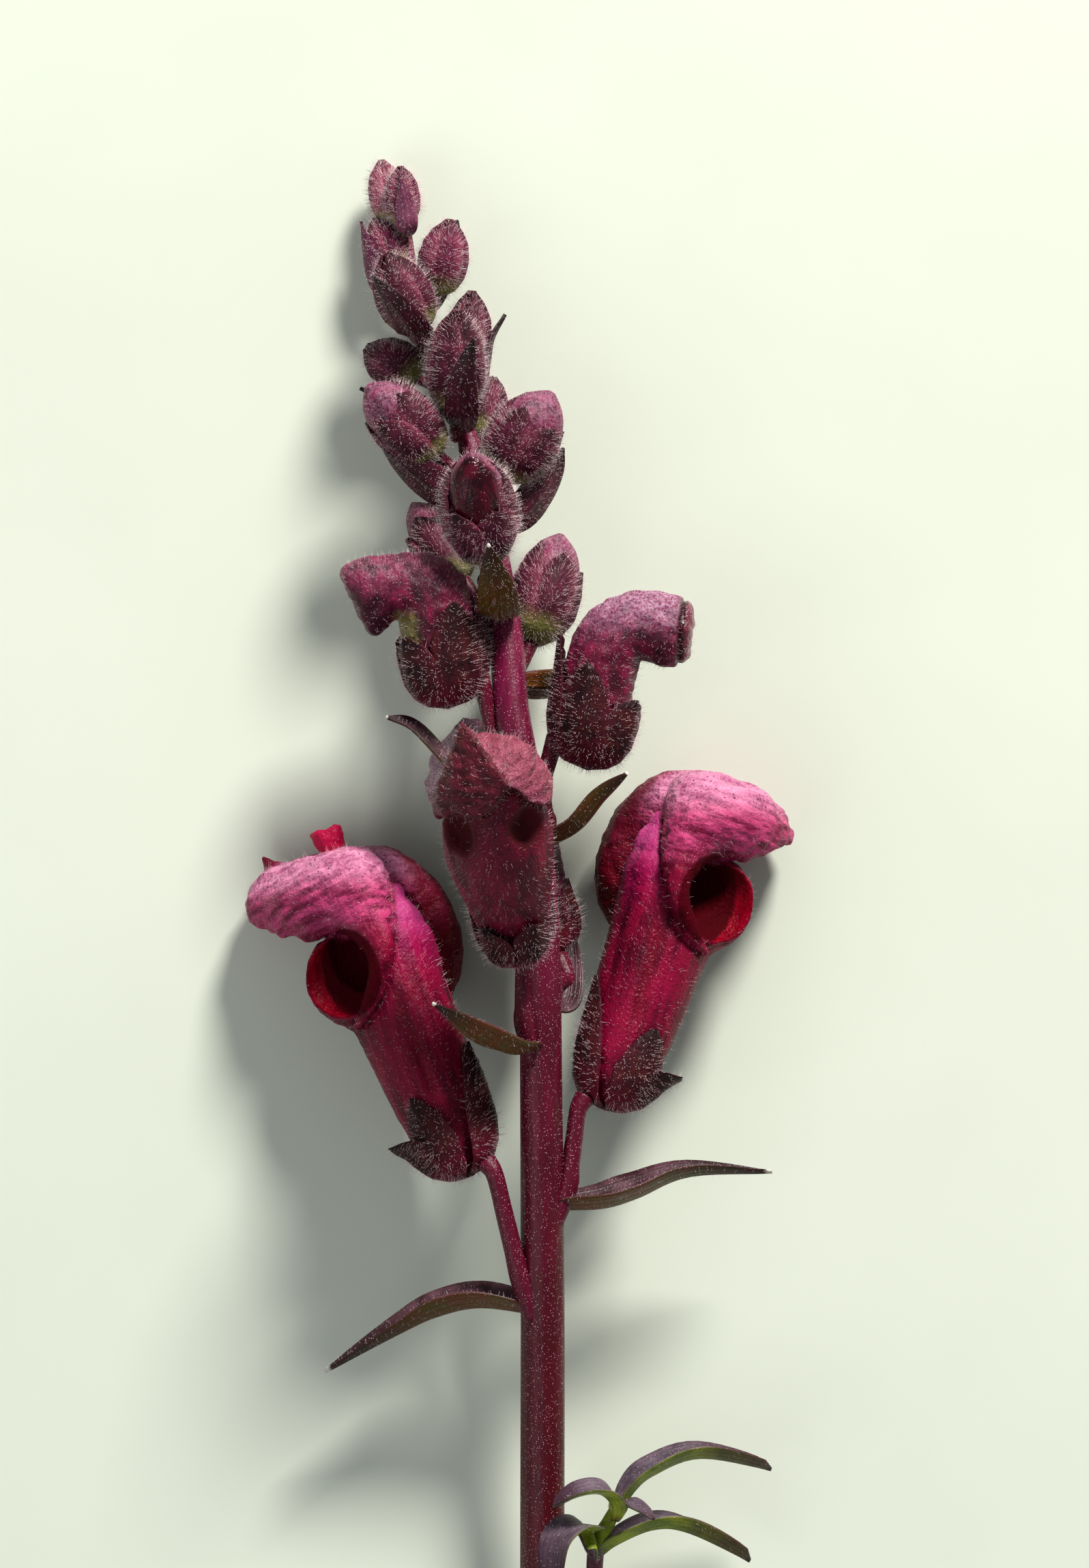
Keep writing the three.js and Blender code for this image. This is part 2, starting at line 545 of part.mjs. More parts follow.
// Where a stalk ends under the calyx and where it comes from just before, in the flower's frame.
const WIDE_SEAT = { end: [0, -1.8, -2.5], before: [0, -5.0, -3.4] };
const BUD_SEAT = { end: [0, -0.55, 0], before: [0, -2.4, -0.4] };
const SEATS = {
  open: WIDE_SEAT,
  opening: WIDE_SEAT,
  hooded: { end: [0, -1.0, -3.2], before: [0, -5.0, -3.7] },
  tight: BUD_SEAT,
  closed: BUD_SEAT,
};

// A flower's stalk, from inside the stem to just under the calyx.
function stalk(flower, grow) {
  const { end, before } = SEATS[flower.stage];
  const scale = flower.stage === "opening" ? flower.size : 1;
  const frame = frameOf(flower);
  const [last, third] = [end, before].map((at) => vec(at).multiplyScalar(scale).applyMatrix4(frame));
  const start = stemAt(flower.node);
  const points = [start, start.clone().lerp(third, 0.5), third, last];
  const rows = points.map((p, i) => [...p.toArray(), flower.stalk * [1.25, 1, 0.95, 1.1][i]]);
  return taper(rows, { sides: STALK_SIDES, steps: 4, grow });
}

function stem(grow) {
  const axis = taper(STEM, { sides: STEM_SIDES, steps: 20, grow });
  return union([axis, ...FLOWERS.map((flower) => stalk(flower, grow))]);
}

// Moves a point of a bract out of the bud in its axil. Depth is how far behind the bract's front it lies.
function clearOfBud(flower) {
  const frame = frameOf(flower);
  const [length, width] = flower.size;
  return (point, depth) => {
    const local = point.clone().applyMatrix4(frame.clone().invert());
    const share = local.y / length;
    if (share < 0 || share > 1.1) return point;
    const axis = new THREE.Vector3(0, local.y, BUD_LEAN * share);
    const away = local.sub(axis);
    const least = (profileAt(BUD_PROFILE, share) * (1 + SEPAL_RELIEF) * width) / 2 + HUG + depth;
    return away.length() < least ? axis.add(away.setLength(least)).applyMatrix4(frame) : point;
  };
}

// The bract under a flower. Under a bud it keeps clear of the bud.
function bractOf(flower, grow) {
  const underBud = flower.stage === "tight" || flower.stage === "closed";
  return blade(flower.bract, grow, underBud ? clearOfBud(flower) : undefined);
}

// A narrow leaf, widest below its middle, whose halves fold up along the midrib.
function blade({ path, width, face, fold }, grow, keepOff = (point) => point) {
  const curve = smoothCurve(path);
  const steps = path.length + 1;
  const thick = BLADE_THICKNESS / 2 + grow;
  const rings = [];
  for (let k = 0; k <= steps; k++) {
    const t = k / steps;
    const tangent = curve.getTangent(t);
    const centre = curve.getPoint(t).addScaledVector(tangent, k === steps ? grow : 0);
    const side = tangent.clone().cross(vec(face)).normalize();
    const up = side.clone().cross(tangent);
    const share = (0.35 + 0.65 * Math.sin(Math.PI * t ** 0.75)) * (1 - 0.8 * t ** 4);
    const half = Math.max(TIP_WIDTH, width * share) / 2 + grow;
    const raw = (a, b) => centre.clone().addScaledVector(side, a).addScaledVector(up, b);
    const at = (a, b, depth) => keepOff(raw(a, b), depth);
    const [inner, outer] = [-grow, BLADE_THICKNESS + grow];
    const lift = fold * half;
    rings.push([
      at(-half, lift + thick, inner), at(0, thick, inner), at(half, lift + thick, inner),
      at(half, lift - thick, outer), at(0, -thick, outer), at(-half, lift - thick, outer),
    ]);
  }
  return solidOf(loft(rings));
}

function sideShoot(grow) {
  const axis = taper(SHOOT, { sides: STALK_SIDES, steps: 7, grow });
  return union([axis, ...SHOOT_LEAVES.map((leaf) => blade(leaf, grow))]);
}

// ---------------------------------------------------------------- the pieces, cut clear of each other

const COROLLAS = { open: openCorolla, opening: openCorolla, hooded: hoodedCorolla, tight: tightCorolla };

function flowerPieces(flower) {
  const { name, stage } = flower;
  const piece = (suffix, slot, shape) => ({
    name: name + suffix, slot, make: (grow) => placed(shape(flower, grow), flower),
  });
  if (stage === "closed") return [piece("", "sepal", closedBud)];
  return [
    piece("_corolla", "petal", COROLLAS[stage]),
    piece("_calyx", "sepal", stage === "tight" ? tightCalyx : openCalyx),
  ];
}

const PIECES = [
  { name: "stem", slot: "stem", make: stem },
  ...FLOWERS.flatMap(flowerPieces),
  ...FLOWERS.map((flower) => ({
    name: `${flower.name}_bract`, slot: "bract", make: (grow) => bractOf(flower, grow),
  })),
  { name: "side_shoot", slot: "leaf", make: sideShoot },
];

function boxesMeet(a, b) {
  const [p, q] = [a.boundingBox(), b.boundingBox()];
  return [0, 1, 2].every((i) => p.min[i] < q.max[i] && q.min[i] < p.max[i]);
}
const largestBody = (solid) => solid.decompose().sort((a, b) => b.volume() - a.volume())[0];

const raceme = new THREE.Group();
const swollen = [];
for (const { name, slot, make } of PIECES) {
  const near = swollen.filter((other) => boxesMeet(make(0), other));
  const solid = largestBody(near.reduce((rest, other) => rest.subtract(other), make(0)));
  swollen.push(make(GAP));
  const { vertProperties, triVerts } = solid.getMesh();
  const geometry = new THREE.BufferGeometry()
    .setAttribute("position", new THREE.BufferAttribute(vertProperties, 3))
    .setIndex(new THREE.BufferAttribute(triVerts, 1));
  geometry.computeVertexNormals();
  const mesh = new THREE.Mesh(geometry, MATERIALS[slot]);
  mesh.name = name;
  raceme.add(mesh);
}

// The frame's origin is under the middle of the whole stem, on the surface that it lies on.
const box = new THREE.Box3().setFromObject(raceme);
const middle = box.getCenter(new THREE.Vector3());
raceme.position.set(-middle.x, -middle.y, -box.min.z);

export default raceme;
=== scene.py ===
# A cut flowering stem of a dark crimson snapdragon, lying on a pale floor and seen from straight above.
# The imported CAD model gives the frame. Every solid is replaced here by a finer mesh in the same place:
# petals from distance fields, sepals, bracts and leaves as thin folded shells, and gland-tipped hairs.
# Lengths are in millimetres in the stem's own frame, which runs along +Y from its cut end, until a mesh
# is made in metres. A flower's frame has the axes w (sideways), u (along the tube) and o (outwards).
import math

import bpy
import numpy as np
import openvdb
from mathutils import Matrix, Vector


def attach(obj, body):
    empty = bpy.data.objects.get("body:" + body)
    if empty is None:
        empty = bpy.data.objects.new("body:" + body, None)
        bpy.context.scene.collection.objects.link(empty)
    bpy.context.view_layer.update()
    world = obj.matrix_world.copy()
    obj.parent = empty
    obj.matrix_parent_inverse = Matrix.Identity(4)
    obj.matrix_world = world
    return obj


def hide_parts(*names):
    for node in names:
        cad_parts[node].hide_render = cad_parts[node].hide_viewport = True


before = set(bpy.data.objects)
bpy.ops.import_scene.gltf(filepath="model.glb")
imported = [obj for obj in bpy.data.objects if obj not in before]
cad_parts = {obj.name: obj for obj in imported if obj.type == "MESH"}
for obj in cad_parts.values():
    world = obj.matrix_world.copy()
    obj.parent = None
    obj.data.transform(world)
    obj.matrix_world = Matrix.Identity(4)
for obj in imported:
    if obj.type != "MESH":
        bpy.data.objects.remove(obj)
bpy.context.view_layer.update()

MM = 0.001
BODY = "root"


# ---------------------------------------------------------------- the plant's dimensions

# Centreline of the stem: x, y, z and the stem's radius there.
STEM = [
    [0, 0, 2.35, 2.35],
    [0, 30, 8.2, 2.35],
    [0, 58.5, 13.6, 2.3],
    [-0.2, 82.8, 17.4, 2.2],
    [-0.3, 94.2, 18.6, 2.15],
    [-0.8, 103.5, 19.0, 2.05],
    [-1.9, 112.1, 18.5, 1.95],
    [-3.2, 120.0, 17.2, 1.82],
    [-3.8, 127.1, 15.5, 1.8],
    [-4.6, 132.8, 13.9, 1.65],
    [-5.6, 139.2, 11.9, 1.4],
    [-6.9, 145.5, 9.8, 1.15],
    [-8.6, 150.5, 8.3, 1.0],
    [-11.0, 155.0, 7.2, 0.9],
    [-12.9, 159.5, 6.2, 0.85],
    [-13.8, 165.0, 5.2, 0.8],
    [-14.5, 170.5, 4.6, 0.6],
]
CUT_CENTRE = [0, 0, 2.35]


def bract(path, width, face, fold, tip=0.9):
    """A bract: points of its midrib, its width, where its upper face looks and how far its sides fold up.

    A smaller tip value makes a blunter tip.
    """
    return {"path": path, "width": width, "face": face, "fold": fold, "tip": tip}


def flower(name, stage, node, stalk, size, base, aim, out, *leaf):
    """A flower or bud, with its bract. Its stalk, of that radius, leaves the stem at height node.

    Size is a scale, or a bud's length and width. base, aim and out give its frame.
    """
    return dict(
        name=name, stage=stage, node=node, stalk=stalk, size=size, base=base, aim=aim, out=out,
        bract=bract(*leaf),
    )


FLOWERS = [
    flower("flower_01", "open", 58.3, 1.0, 1,
           [-8.1, 72.4, 15.2], [-0.33, 0.92, -0.2], [-0.866, 0, -0.5],
           [[-1.2, 56.6, 13.6], [-6.7, 57.0, 12.8], [-11, 56.0, 12.2], [-15, 54.2, 11.6], [-23, 50.0, 10.3]],
           4.8, [0.1, 0.95, 0.2], 0.9),
    flower("flower_02", "open", 68.2, 1.0, 1,
           [6.7, 79.4, 14.0], [0.268, 0.951, -0.155], [0.866, 0, -0.5],
           [[1.2, 67.6, 15.2], [6.3, 67.6, 14.6], [10, 68.6, 14], [15.4, 70.8, 13], [24.2, 71.2, 11.8]],
           4.6, [-0.1, 0.95, 0.2], 0.85),
    flower("flower_03", "opening", 85.5, 1.0, 0.78,
           [-2.6, 95.0, 24.2], [-0.13, 0.84, 0.527], [-0.1, 0, 0.995],
           [[-0.6, 84.6, 19.4], [-3.4, 84.3, 22.6], [-6.6, 85.8, 25.6],
            [-9, 87.6, 28.2], [-11.3, 89.5, 30.6]],
           4.2, [0.25, 0.75, -0.5], 0.35),
    flower("flower_04", "opening", 89.6, 1.0, 0.745,
           [0.9, 94.6, 11.3], [-0.345, 0.93, -0.11], [-0.25, 0, -0.97],
           [[0.8, 88.6, 17.6], [2.6, 89.2, 16.0], [3.1, 92.8, 13.6], [3.1, 97.2, 10.8]],
           2.8, [-0.1, 0.6, 0.8], 0.3),
    flower("flower_05", "hooded", 107.2, 0.85, [14.6, 11.8],
           [-9.6, 121.6, 17.4], [-0.1, 0.99, 0.05], [-1, 0, 0.08],
           [[-2.2, 107.4, 18.8], [-7.4, 111.3, 18.4], [-11, 115.2, 18.2],
            [-13.8, 118.1, 18.4], [-16.4, 119.1, 18.8]],
           2.8, [0.5, 0.6, 0.4], 0.35),
    flower("flower_06", "hooded", 106.2, 0.85, [18.4, 10.9],
           [4.4, 115.2, 18.0], [0.15, 0.98, 0.02], [1, 0, 0.04],
           [[0.2, 105.8, 18.9], [3.6, 107.6, 20.2], [6.1, 110.6, 21.4], [8.9, 113.3, 22.4]],
           3.4, [-0.55, 0.6, -0.5], 0.3),
    flower("bud_07", "tight", 123.0, 0.8, [12.6, 7.2],
           [-1.4, 126.7, 11.9], [0.24, 0.93, -0.28], [0.8, 0, -0.6],
           [[-2.6, 122.6, 16.4], [0.2, 122.4, 14.2], [3.6, 123.0, 11.4], [6.6, 125.2, 8.6]],
           3.6, [-0.2, 0.5, -0.8], 0.2),
    flower("bud_08", "tight", 128.9, 0.7, [10.4, 5.8],
           [-8.3, 133.4, 11.0], [-0.5, 0.82, -0.28], [-0.8, 0, -0.6],
           [[-4.6, 128.4, 14.6], [-7.2, 129.0, 11.0], [-10.8, 130.8, 7.4], [-13.4, 133.6, 4.6]],
           3.0, [0.3, 0.75, 0.5], 0.2),
    flower("bud_09", "tight", 129.6, 0.8, [13.6, 7.6],
           [-5.9, 135.4, 18.6], [-0.11, 0.8, 0.6], [-0.1, 0, 1],
           [[-4.4, 129.4, 15.8], [-4.5, 129.9, 19.9], [-4.9, 133.0, 24.6], [-5.6, 136.9, 27.8]],
           4.2, [0, 0.55, -0.85], 0.2),
    flower("bud_10", "tight", 139.0, 0.65, [10.8, 7.4],
           [-4.6, 144.1, 11.2], [0.48, 0.86, 0.18], [1, 0, 0.3],
           [[-5.2, 139.4, 12.0], [-2.2, 140.6, 11.4], [-0.2, 143.0, 10.4],
            [1.2, 145.4, 9.4], [2.2, 147.7, 8.8]],
           4.4, [-0.4, 0.4, -0.85], 0.2),
    flower("bud_11", "tight", 140.6, 0.65, [10.8, 6.8],
           [-10.9, 146.5, 12.6], [-0.66, 0.7, 0.26], [-1, -0.2, 0.4],
           [[-6.2, 141.2, 12.2], [-9.4, 142.3, 13.3], [-12.4, 144.1, 14.0],
            [-15.0, 146.1, 14.5], [-16.9, 147.6, 14.8]],
           4.4, [0.35, 0.5, -0.85], 0.2),
    flower("bud_12", "closed", 146.0, 0.55, [7.4, 4.4],
           [-6.9, 148.6, 6.0], [0.2, 0.88, -0.3], [0.3, 0, -1],
           [[-6.9, 145.0, 7.8], [-5.8, 146.4, 5.0], [-4.2, 148.8, 2.8], [-2.8, 151.2, 2.2]],
           2.6, [-0.2, 0.6, 0.75], 0.15),
    flower("bud_13", "closed", 149.0, 0.55, [11.6, 6.0],
           [-9.2, 150.8, 12.0], [0.02, 0.93, 0.36], [0.1, 0, 1],
           [[-8.2, 149.4, 10.7], [-8.5, 150.9, 14.8], [-8.3, 154.4, 18.6], [-7.2, 158.6, 20.8]],
           3.4, [0, 0.5, -0.85], 0.2),
    flower("bud_14", "closed", 152.6, 0.5, [10.2, 4.9],
           [-8.5, 154.2, 6.2], [0.06, 0.97, -0.1], [0.9, 0, -0.4],
           [[-9.3, 152.6, 8], [-6.6, 153.6, 8], [-5.9, 156.6, 7], [-5.4, 159.4, 6.4], [-4.0, 162.0, 6.2]],
           2.4, [-0.9, 0.4, 0.1], 0.15),
    flower("bud_15", "closed", 153.6, 0.5, [6.8, 5.2],
           [-12.9, 154.9, 6.8], [-0.82, 0.56, -0.1], [-0.8, -0.5, -0.2],
           [[-11.1, 152.6, 6.6], [-14.0, 152.4, 5.6], [-17.0, 153.1, 5.6], [-19.4, 154.2, 5.8]],
           2.4, [0.2, 0.95, 0.2], 0.15),
    flower("bud_16", "closed", 158.6, 0.5, [9.2, 5.8],
           [-12.9, 159.8, 9.0], [-0.36, 0.88, 0.26], [-0.7, 0, 0.7],
           [[-12.7, 158.2, 8.1], [-13.4, 159.6, 11.8], [-15.4, 162.4, 14.4], [-17.9, 165.5, 15.2]],
           3.8, [0.4, 0.4, -0.85], 0.1),
    flower("bud_17", "closed", 162.4, 0.45, [8.2, 5.1],
           [-11.3, 163.8, 6.8], [0.14, 0.96, 0.16], [0.7, 0, 0.7],
           [[-12.6, 162.0, 5.6], [-11.0, 163.4, 4.6], [-9.7, 166.4, 4.8],
            [-8.9, 169.4, 6.6], [-9.1, 171.8, 8.6]],
           2.4, [-0.8, 0.45, 0.3], 0.15),
    flower("bud_18", "closed", 165.4, 0.45, [6.2, 4.1],
           [-15.2, 166.6, 4.8], [-0.36, 0.93, 0], [-1, 0, 0],
           [[-15.1, 164.2, 5.3], [-16.8, 164.8, 5.6], [-18.2, 167.6, 6.0], [-19.3, 171.9, 5.6]],
           2.8, [0.5, 0.3, -0.8], 0.15),
    flower("bud_19", "closed", 169.2, 0.4, [7.2, 3.9],
           [-15.8, 171.3, 4.2], [-0.14, 0.98, 0], [-1, 0, 0],
           [[-14.5, 168.0, 3.5], [-15.3, 170.4, 2.8], [-16.2, 173.8, 2.0], [-17.0, 177.4, 2.2]],
           2.2, [0.1, 0.4, 0.9], 0.15),
    flower("bud_20", "closed", 169.9, 0.4, [6.4, 3.5],
           [-14.6, 171.2, 6.1], [-0.1, 0.97, 0.12], [0.5, 0, 0.85],
           [[-14.5, 170.5, 6.4], [-14.4, 171.5, 8.0], [-14.6, 173.8, 8.9], [-15.2, 176.4, 9.0]],
           2.3, [0, 0.4, -0.9], 0.15),
]

# The side shoot low on the stem: its axis with radii, and its leaves.
SHOOT = [
    [0.6, 18.6, 6.0, 1.0], [3.4, 21.6, 7.2, 0.95], [5.2, 26.6, 9.6, 0.85], [5.7, 31.6, 11.8, 0.9],
    [7.0, 34.4, 12.8, 0.75], [8.3, 37.0, 13.4, 0.5],
]
SHOOT_LEAVES = [
    bract([[8.2, 35.6, 13.3], [9.5, 37.7, 13.2], [11.7, 39.4, 12.8], [16.6, 41.0, 11.6], [24.2, 39.5, 8.6]],
          3.6, [-0.2, 0.97, 0.22], 0.85, 0.3),
    bract([[5.9, 30.8, 11.6], [7.9, 32.1, 11.6], [11.7, 33.5, 11.0], [15.4, 33.0, 9.8], [22.0, 29.6, 6.6]],
          3.4, [-0.1, 0.97, 0.1], 0.85, 0.3),
    bract([[7.4, 34.6, 13.2], [7.5, 36.4, 15.0], [6.1, 37.8, 16.6], [3.6, 37.5, 17.0], [1.1, 36.2, 16.6]],
          3.0, [0.35, 0.9, 0.3], 0.6, 0.4),
    bract([[5.6, 30.6, 12.2], [5.1, 33.0, 13.8], [3.5, 33.9, 15.6], [1.7, 32.2, 16.6], [1.2, 27.4, 16.2]],
          4.4, [-0.5, 0.55, 0.65], 0.4, 0.4),
    bract([[8.3, 36.2, 13.6], [9.4, 36.4, 15.2], [10.6, 35.8, 16.4], [11.7, 35.0, 17.2]],
          1.4, [-0.2, 0.8, 0.5], 0.5, 0.5),
]

# Parts of an open corolla. A row of three numbers is u, o and radius in the flower's middle plane, one of
# four is w, u, o and radius, and a pair of lists is an ellipsoid: its centre and its radii as w, u, o. The
# two sides differ: on the one that was shown the rolled petal edge lies close round the hollow, on the
# other it spreads.
TUBE_OFFSET = 0.5
OPEN_TUBE = [
    [1.6, 0.5, 2.0], [2.4, 0.5, 3.4], [5.0, 0.5, 4.4], [9.0, 0.7, 4.9], [13.5, 0.9, 5.2],
    [17.8, 1.1, 5.4], [21.5, 0.6, 5.1], [25.0, -0.3, 4.4], [29.0, -1.2, 2.4],
]
NEAR_ROLL = [
    [1.2, 33.0, 0.2, 2.2], [2.8, 31.8, -0.5, 2.7], [4.2, 29.0, -1.0, 3.0], [4.8, 26.0, -1.5, 2.4],
    [5.6, 23.6, -2.0, 1.6], [6.0, 21.4, -1.5, 1.2], [5.8, 19.4, 0.2, 1.05], [5.2, 17.9, 2.2, 0.9],
    [4.6, 17.2, 4.0, 0.7],
]
FAR_ROLL = [
    [1.6, 33.4, 1.6, 2.0], [3.6, 32.2, -0.6, 2.7], [5.6, 29.0, -1.9, 2.9], [6.8, 25.0, -1.8, 2.9],
    [7.2, 21.6, -0.6, 2.5], [6.6, 18.8, 1.0, 1.7], [5.4, 17.0, 2.0, 0.9],
]
OPEN_PILLOW = ([3.0, 31.2, 3.4], [4.8, 4.1, 5.6])
OPEN_HOOD = ([0, 31.8, 4.6], [6.0, 4.1, 6.2])
OPEN_LIP = ([0, 22.6, 4.3], [7.7, 5.6, 5.2])
OPEN_BOWL = ([7.2, 22.4, 3.2], [4.4, 4.8, 5.3])
OPEN_TUNNEL = ([4.6, 23.6, 1.6], [4.4, 3.6, 4.0])
BEAK_WIDE = 1.25
BEAKS = {
    "flower_01": [[32.0, 6.6, 5.0], [32.9, 9.0, 4.6], [33.4, 10.6, 3.7], [33.8, 11.6, 2.4]],
    "flower_02": [[31.4, 6.8, 4.6], [31.6, 9.2, 3.4], [32.0, 11.2, 1.9], [32.4, 13.2, 0.3]],
}
HOOD_EDGES = {  # o and u of the hood's lower margin
    "flower_01": [[2.0, 26.0], [5.3, 27.3], [9.2, 29.4], [11.0, 30.6], [14.0, 33.0]],
    "flower_02": [[1.9, 26.0], [6.8, 28.3], [9.0, 30.0], [11.0, 31.3], [14.0, 32.6]],
}
SPIKE = [[34.8, 9.4, 2.9], [36.6, 10.0, 1.4], [37.9, 10.5, 0.7], [39.0, 10.9, 0.2]]  # on flower_01's hood
# A small cup on flower_01's hood.
FRILL = [[1.2, 35.4, 1.7, 0.7], [1.3, 36.4, 1.7, 1.25], [1.4, 37.4, 1.8, 1.65], [1.4, 38.8, 1.8, 1.8]]
FRILL_HOLLOW = [[1.4, 37.2, 1.7, 0.5], [1.4, 38.1, 1.8, 1.3], [1.4, 39.8, 1.8, 1.5]]
FRILL_TOP = 38.5
# A flower that is only opening: its upper lip's left lobe is folded over the right one.
OPENING_FUNNEL = [
    [1.6, 0.3, 1.8], [2.6, 0.3, 3.0], [6.0, 0.4, 4.2], [10.0, 1.0, 4.9], [14.0, 1.8, 5.6],
    [18.0, 2.4, 6.1], [22.0, 2.4, 5.9], [26.0, 2.0, 5.2],
]
OPENING_WIDE = 1.2
OPENING_DOME = ([0.3, 26.6, 2.6], [8.0, 7.6, 7.4])
OPENING_PEAK = [[-1.2, 30.0, 3.4, 3.8], [-1.8, 34.0, 2.4, 1.7], [-2.0, 36.2, 1.6, 0.4]]
OPENING_PIT = ([5.0, 23.0, 7.4], [2.4, 2.6, 3.0])
OPENING_SIDE = ([-6.8, 29.6], [-11.9, 17.8])  # the hood's straight left edge
OPENING_ACROSS = [0.991, -0.13, -0.036]  # directions of the lobes' shared plane, in w, u and o
OPENING_UP = [0.091, 0.84, -0.535]
OPENING_FOLD = ([-6.8, 29.6], [-0.7, 21.4])  # the left lobe's edge, in that plane
OPENING_CREST = 2.3  # how high the left lobe stands over the right one
OPENING_VALLEY = ([2.4, 23.2], [0.6, 17.0])  # a soft fold in the right lobe
# A hooded bud: two rods in its middle plane, the plane in which the hood ends, and how much of the crease
# round that end (darkened as painted shade), of the palate and of the mauve top (partly a painted highlight)
# it has.
HOODED_FORMS = {
    "flower_05": dict(
        body=[[0.6, 0.3, 1.8], [1.6, 0.4, 2.8], [3.4, 0.5, 3.5], [6.0, 0.8, 3.8],
              [8.8, 0.6, 4.0], [10.8, 1.2, 3.8], [11.6, 3.0, 3.5], [11.8, 5.0, 3.3],
              [12.0, 7.2, 3.1], [12.3, 8.6, 2.5]],
        beak=[[11.0, 7.0, 2.9], [9.2, 7.4, 2.2], [7.7, 7.7, 0.9]],
        end=9.4, slope=0.34, height=15.0, crease=0, palate=1, mauve=0.25),
    "flower_06": dict(
        body=[[0.6, 0.3, 1.8], [1.8, 0.4, 2.8], [4.0, 0.3, 3.5], [7.0, 0.2, 3.8],
              [10.0, 0.4, 3.8], [12.4, 1.0, 3.7], [13.8, 2.6, 3.6], [14.4, 4.4, 3.6],
              [14.4, 6.6, 3.5]],
        beak=[[14.0, 6.6, 3.2], [12.6, 7.0, 2.2], [11.9, 7.6, 1.2]],
        end=9.2, slope=-0.06, height=18.0, crease=1, palate=0, mauve=1),
}


def five(front, side, back):
    """Rows for five sepals: the front and side ones are on both sides."""
    return [front, side, back, [360 - side[0], *side[1:]], [360 - front[0], *front[1:]]]


# Outer face of an open calyx as height u and radius, and of a bud as shares of its length and half width.
# A row of sepal tips is the direction in degrees, the height, the outward curl and how blunt the tip is, or
# for a bud only the direction and the height as a share. Sinus: the height from which sepals are separate.
CALYX_PROFILE = [[-1.6, 0], [-1.35, 2.1], [-0.5, 3.6], [1.2, 4.7], [3.6, 5.2], [8.0, 5.5], [13, 5.8]]
SEPAL_TIPS = five([50, 3.7, 1.8, 9.0], [90, 7.6, 0.1, 1.8], [180, 11.6, -0.2, 1.8])
CALYX_SINUS = 0.4
OPENING_SINUS = 2.2
OPENING_TIPS = five([36, 6.8, 0.3, 2.4], [108, 8.8, 0, 2.2], [180, 12.0, 0, 2.0])
HOODED_CALYX = 0.9  # scale of a hooded bud's calyx
HOODED_SINUS = 2.5
HOODED_PROFILE = [[-1.6, 0], [-1.3, 2.1], [-0.4, 3.5], [1.2, 4.3], [3.6, 4.7], [8.0, 4.7], [13, 4.9]]
HOODED_TIPS = five([36, 6.4, 0.3, 2.6], [108, 9.6, 0, 2.2], [180, 12.0, 0, 2.2])
BUD_PROFILE = [
    [0, 0], [0.03, 0.42], [0.12, 0.78], [0.3, 1], [0.52, 1.02], [0.74, 0.88], [0.9, 0.56], [1.0, 0.2],
    [1.04, 0.1],
]
BUD_LEAN = 0.35  # how far a bud's tip leans outwards
BUD_SINUS = 0.35  # share of a bud's length from which its sepals are separate
CLOSED_TIP = 1.03  # height of a closed bud's sepal tips as a share of its length
TIP_BLUNTNESS = {"tight": 3.2, "closed": 9}
YOUNG = ("tight", "closed")  # the stages in which sepals still wrap the bud
TIGHT_TIPS = [[36, 0.72], [108, 0.8], [180, 0.9], [252, 0.8], [324, 0.74]]
SHOWING_TIPS = [[36, 0.62], [94, 0.95], [180, 0.9], [266, 0.95], [324, 0.64]]
TIGHT_PETALS = [
    [0.32, 0.5], [0.4, 0.96], [0.55, 1], [0.74, 0.94], [0.88, 0.74], [0.96, 0.5], [1.02, 0.26],
]


# ---------------------------------------------------------------- numbers and curves


def unit(v):
    v = np.asarray(v, float)
    return v / np.maximum(np.linalg.norm(v, axis=-1, keepdims=True), 1e-9)


def smooth(low, high, value):
    """0 below low and 1 above high, with a soft step between them. Low may be the larger one."""
    t = np.clip((value - low) / (high - low), 0, 1)
    return t * t * (3 - 2 * t)


def profile(rows, height):
    """The value of a profile of [height, value] rows at each height."""
    rows = np.asarray(rows, float)
    return np.interp(height, rows[:, 0], rows[:, 1])


def resample(rows, steps):
    """Points along a smooth Catmull-Rom curve through the rows, evenly in the rows' own parameter."""
    rows = np.asarray(rows, float)
    padded = np.vstack([2 * rows[0] - rows[1], rows, 2 * rows[-1] - rows[-2]])
    t = np.linspace(0, len(rows) - 1, steps + 1)
    i = np.minimum(t.astype(int), len(rows) - 2)
    f = (t - i)[:, None]
    a, b, c, d = (padded[i + k] for k in range(4))
    return 0.5 * (2 * b + (c - a) * f + (2 * a - 5 * b + 4 * c - d) * f**2 + (3 * b - a - 3 * c + d) * f**3)


def waves(points, size, seed, count=14):
    """Smooth noise of about unit height, with waves about size long in every direction."""
    rng = np.random.default_rng(seed)
    heading = unit(rng.normal(size=(count, 3))) * rng.uniform(0.7, 1.5, (count, 1)) * 2 * np.pi / size
    phase = rng.uniform(0, 2 * np.pi, count)
    return np.sin(points @ heading.T + phase).sum(axis=1) / math.sqrt(count / 2) * 0.7


def frame_of(made):
    """The axes w, u and o of a flower as rows, and its base."""
    u = unit(made["aim"])
    out = np.asarray(made["out"], float)
    o = unit(out - out.dot(u) * u)
    return np.array([np.cross(u, o), u, o]), np.asarray(made["base"], float)


def to_stem(points, made):
    axes, base = frame_of(made)
    return points @ axes + base


# ---------------------------------------------------------------- shapes


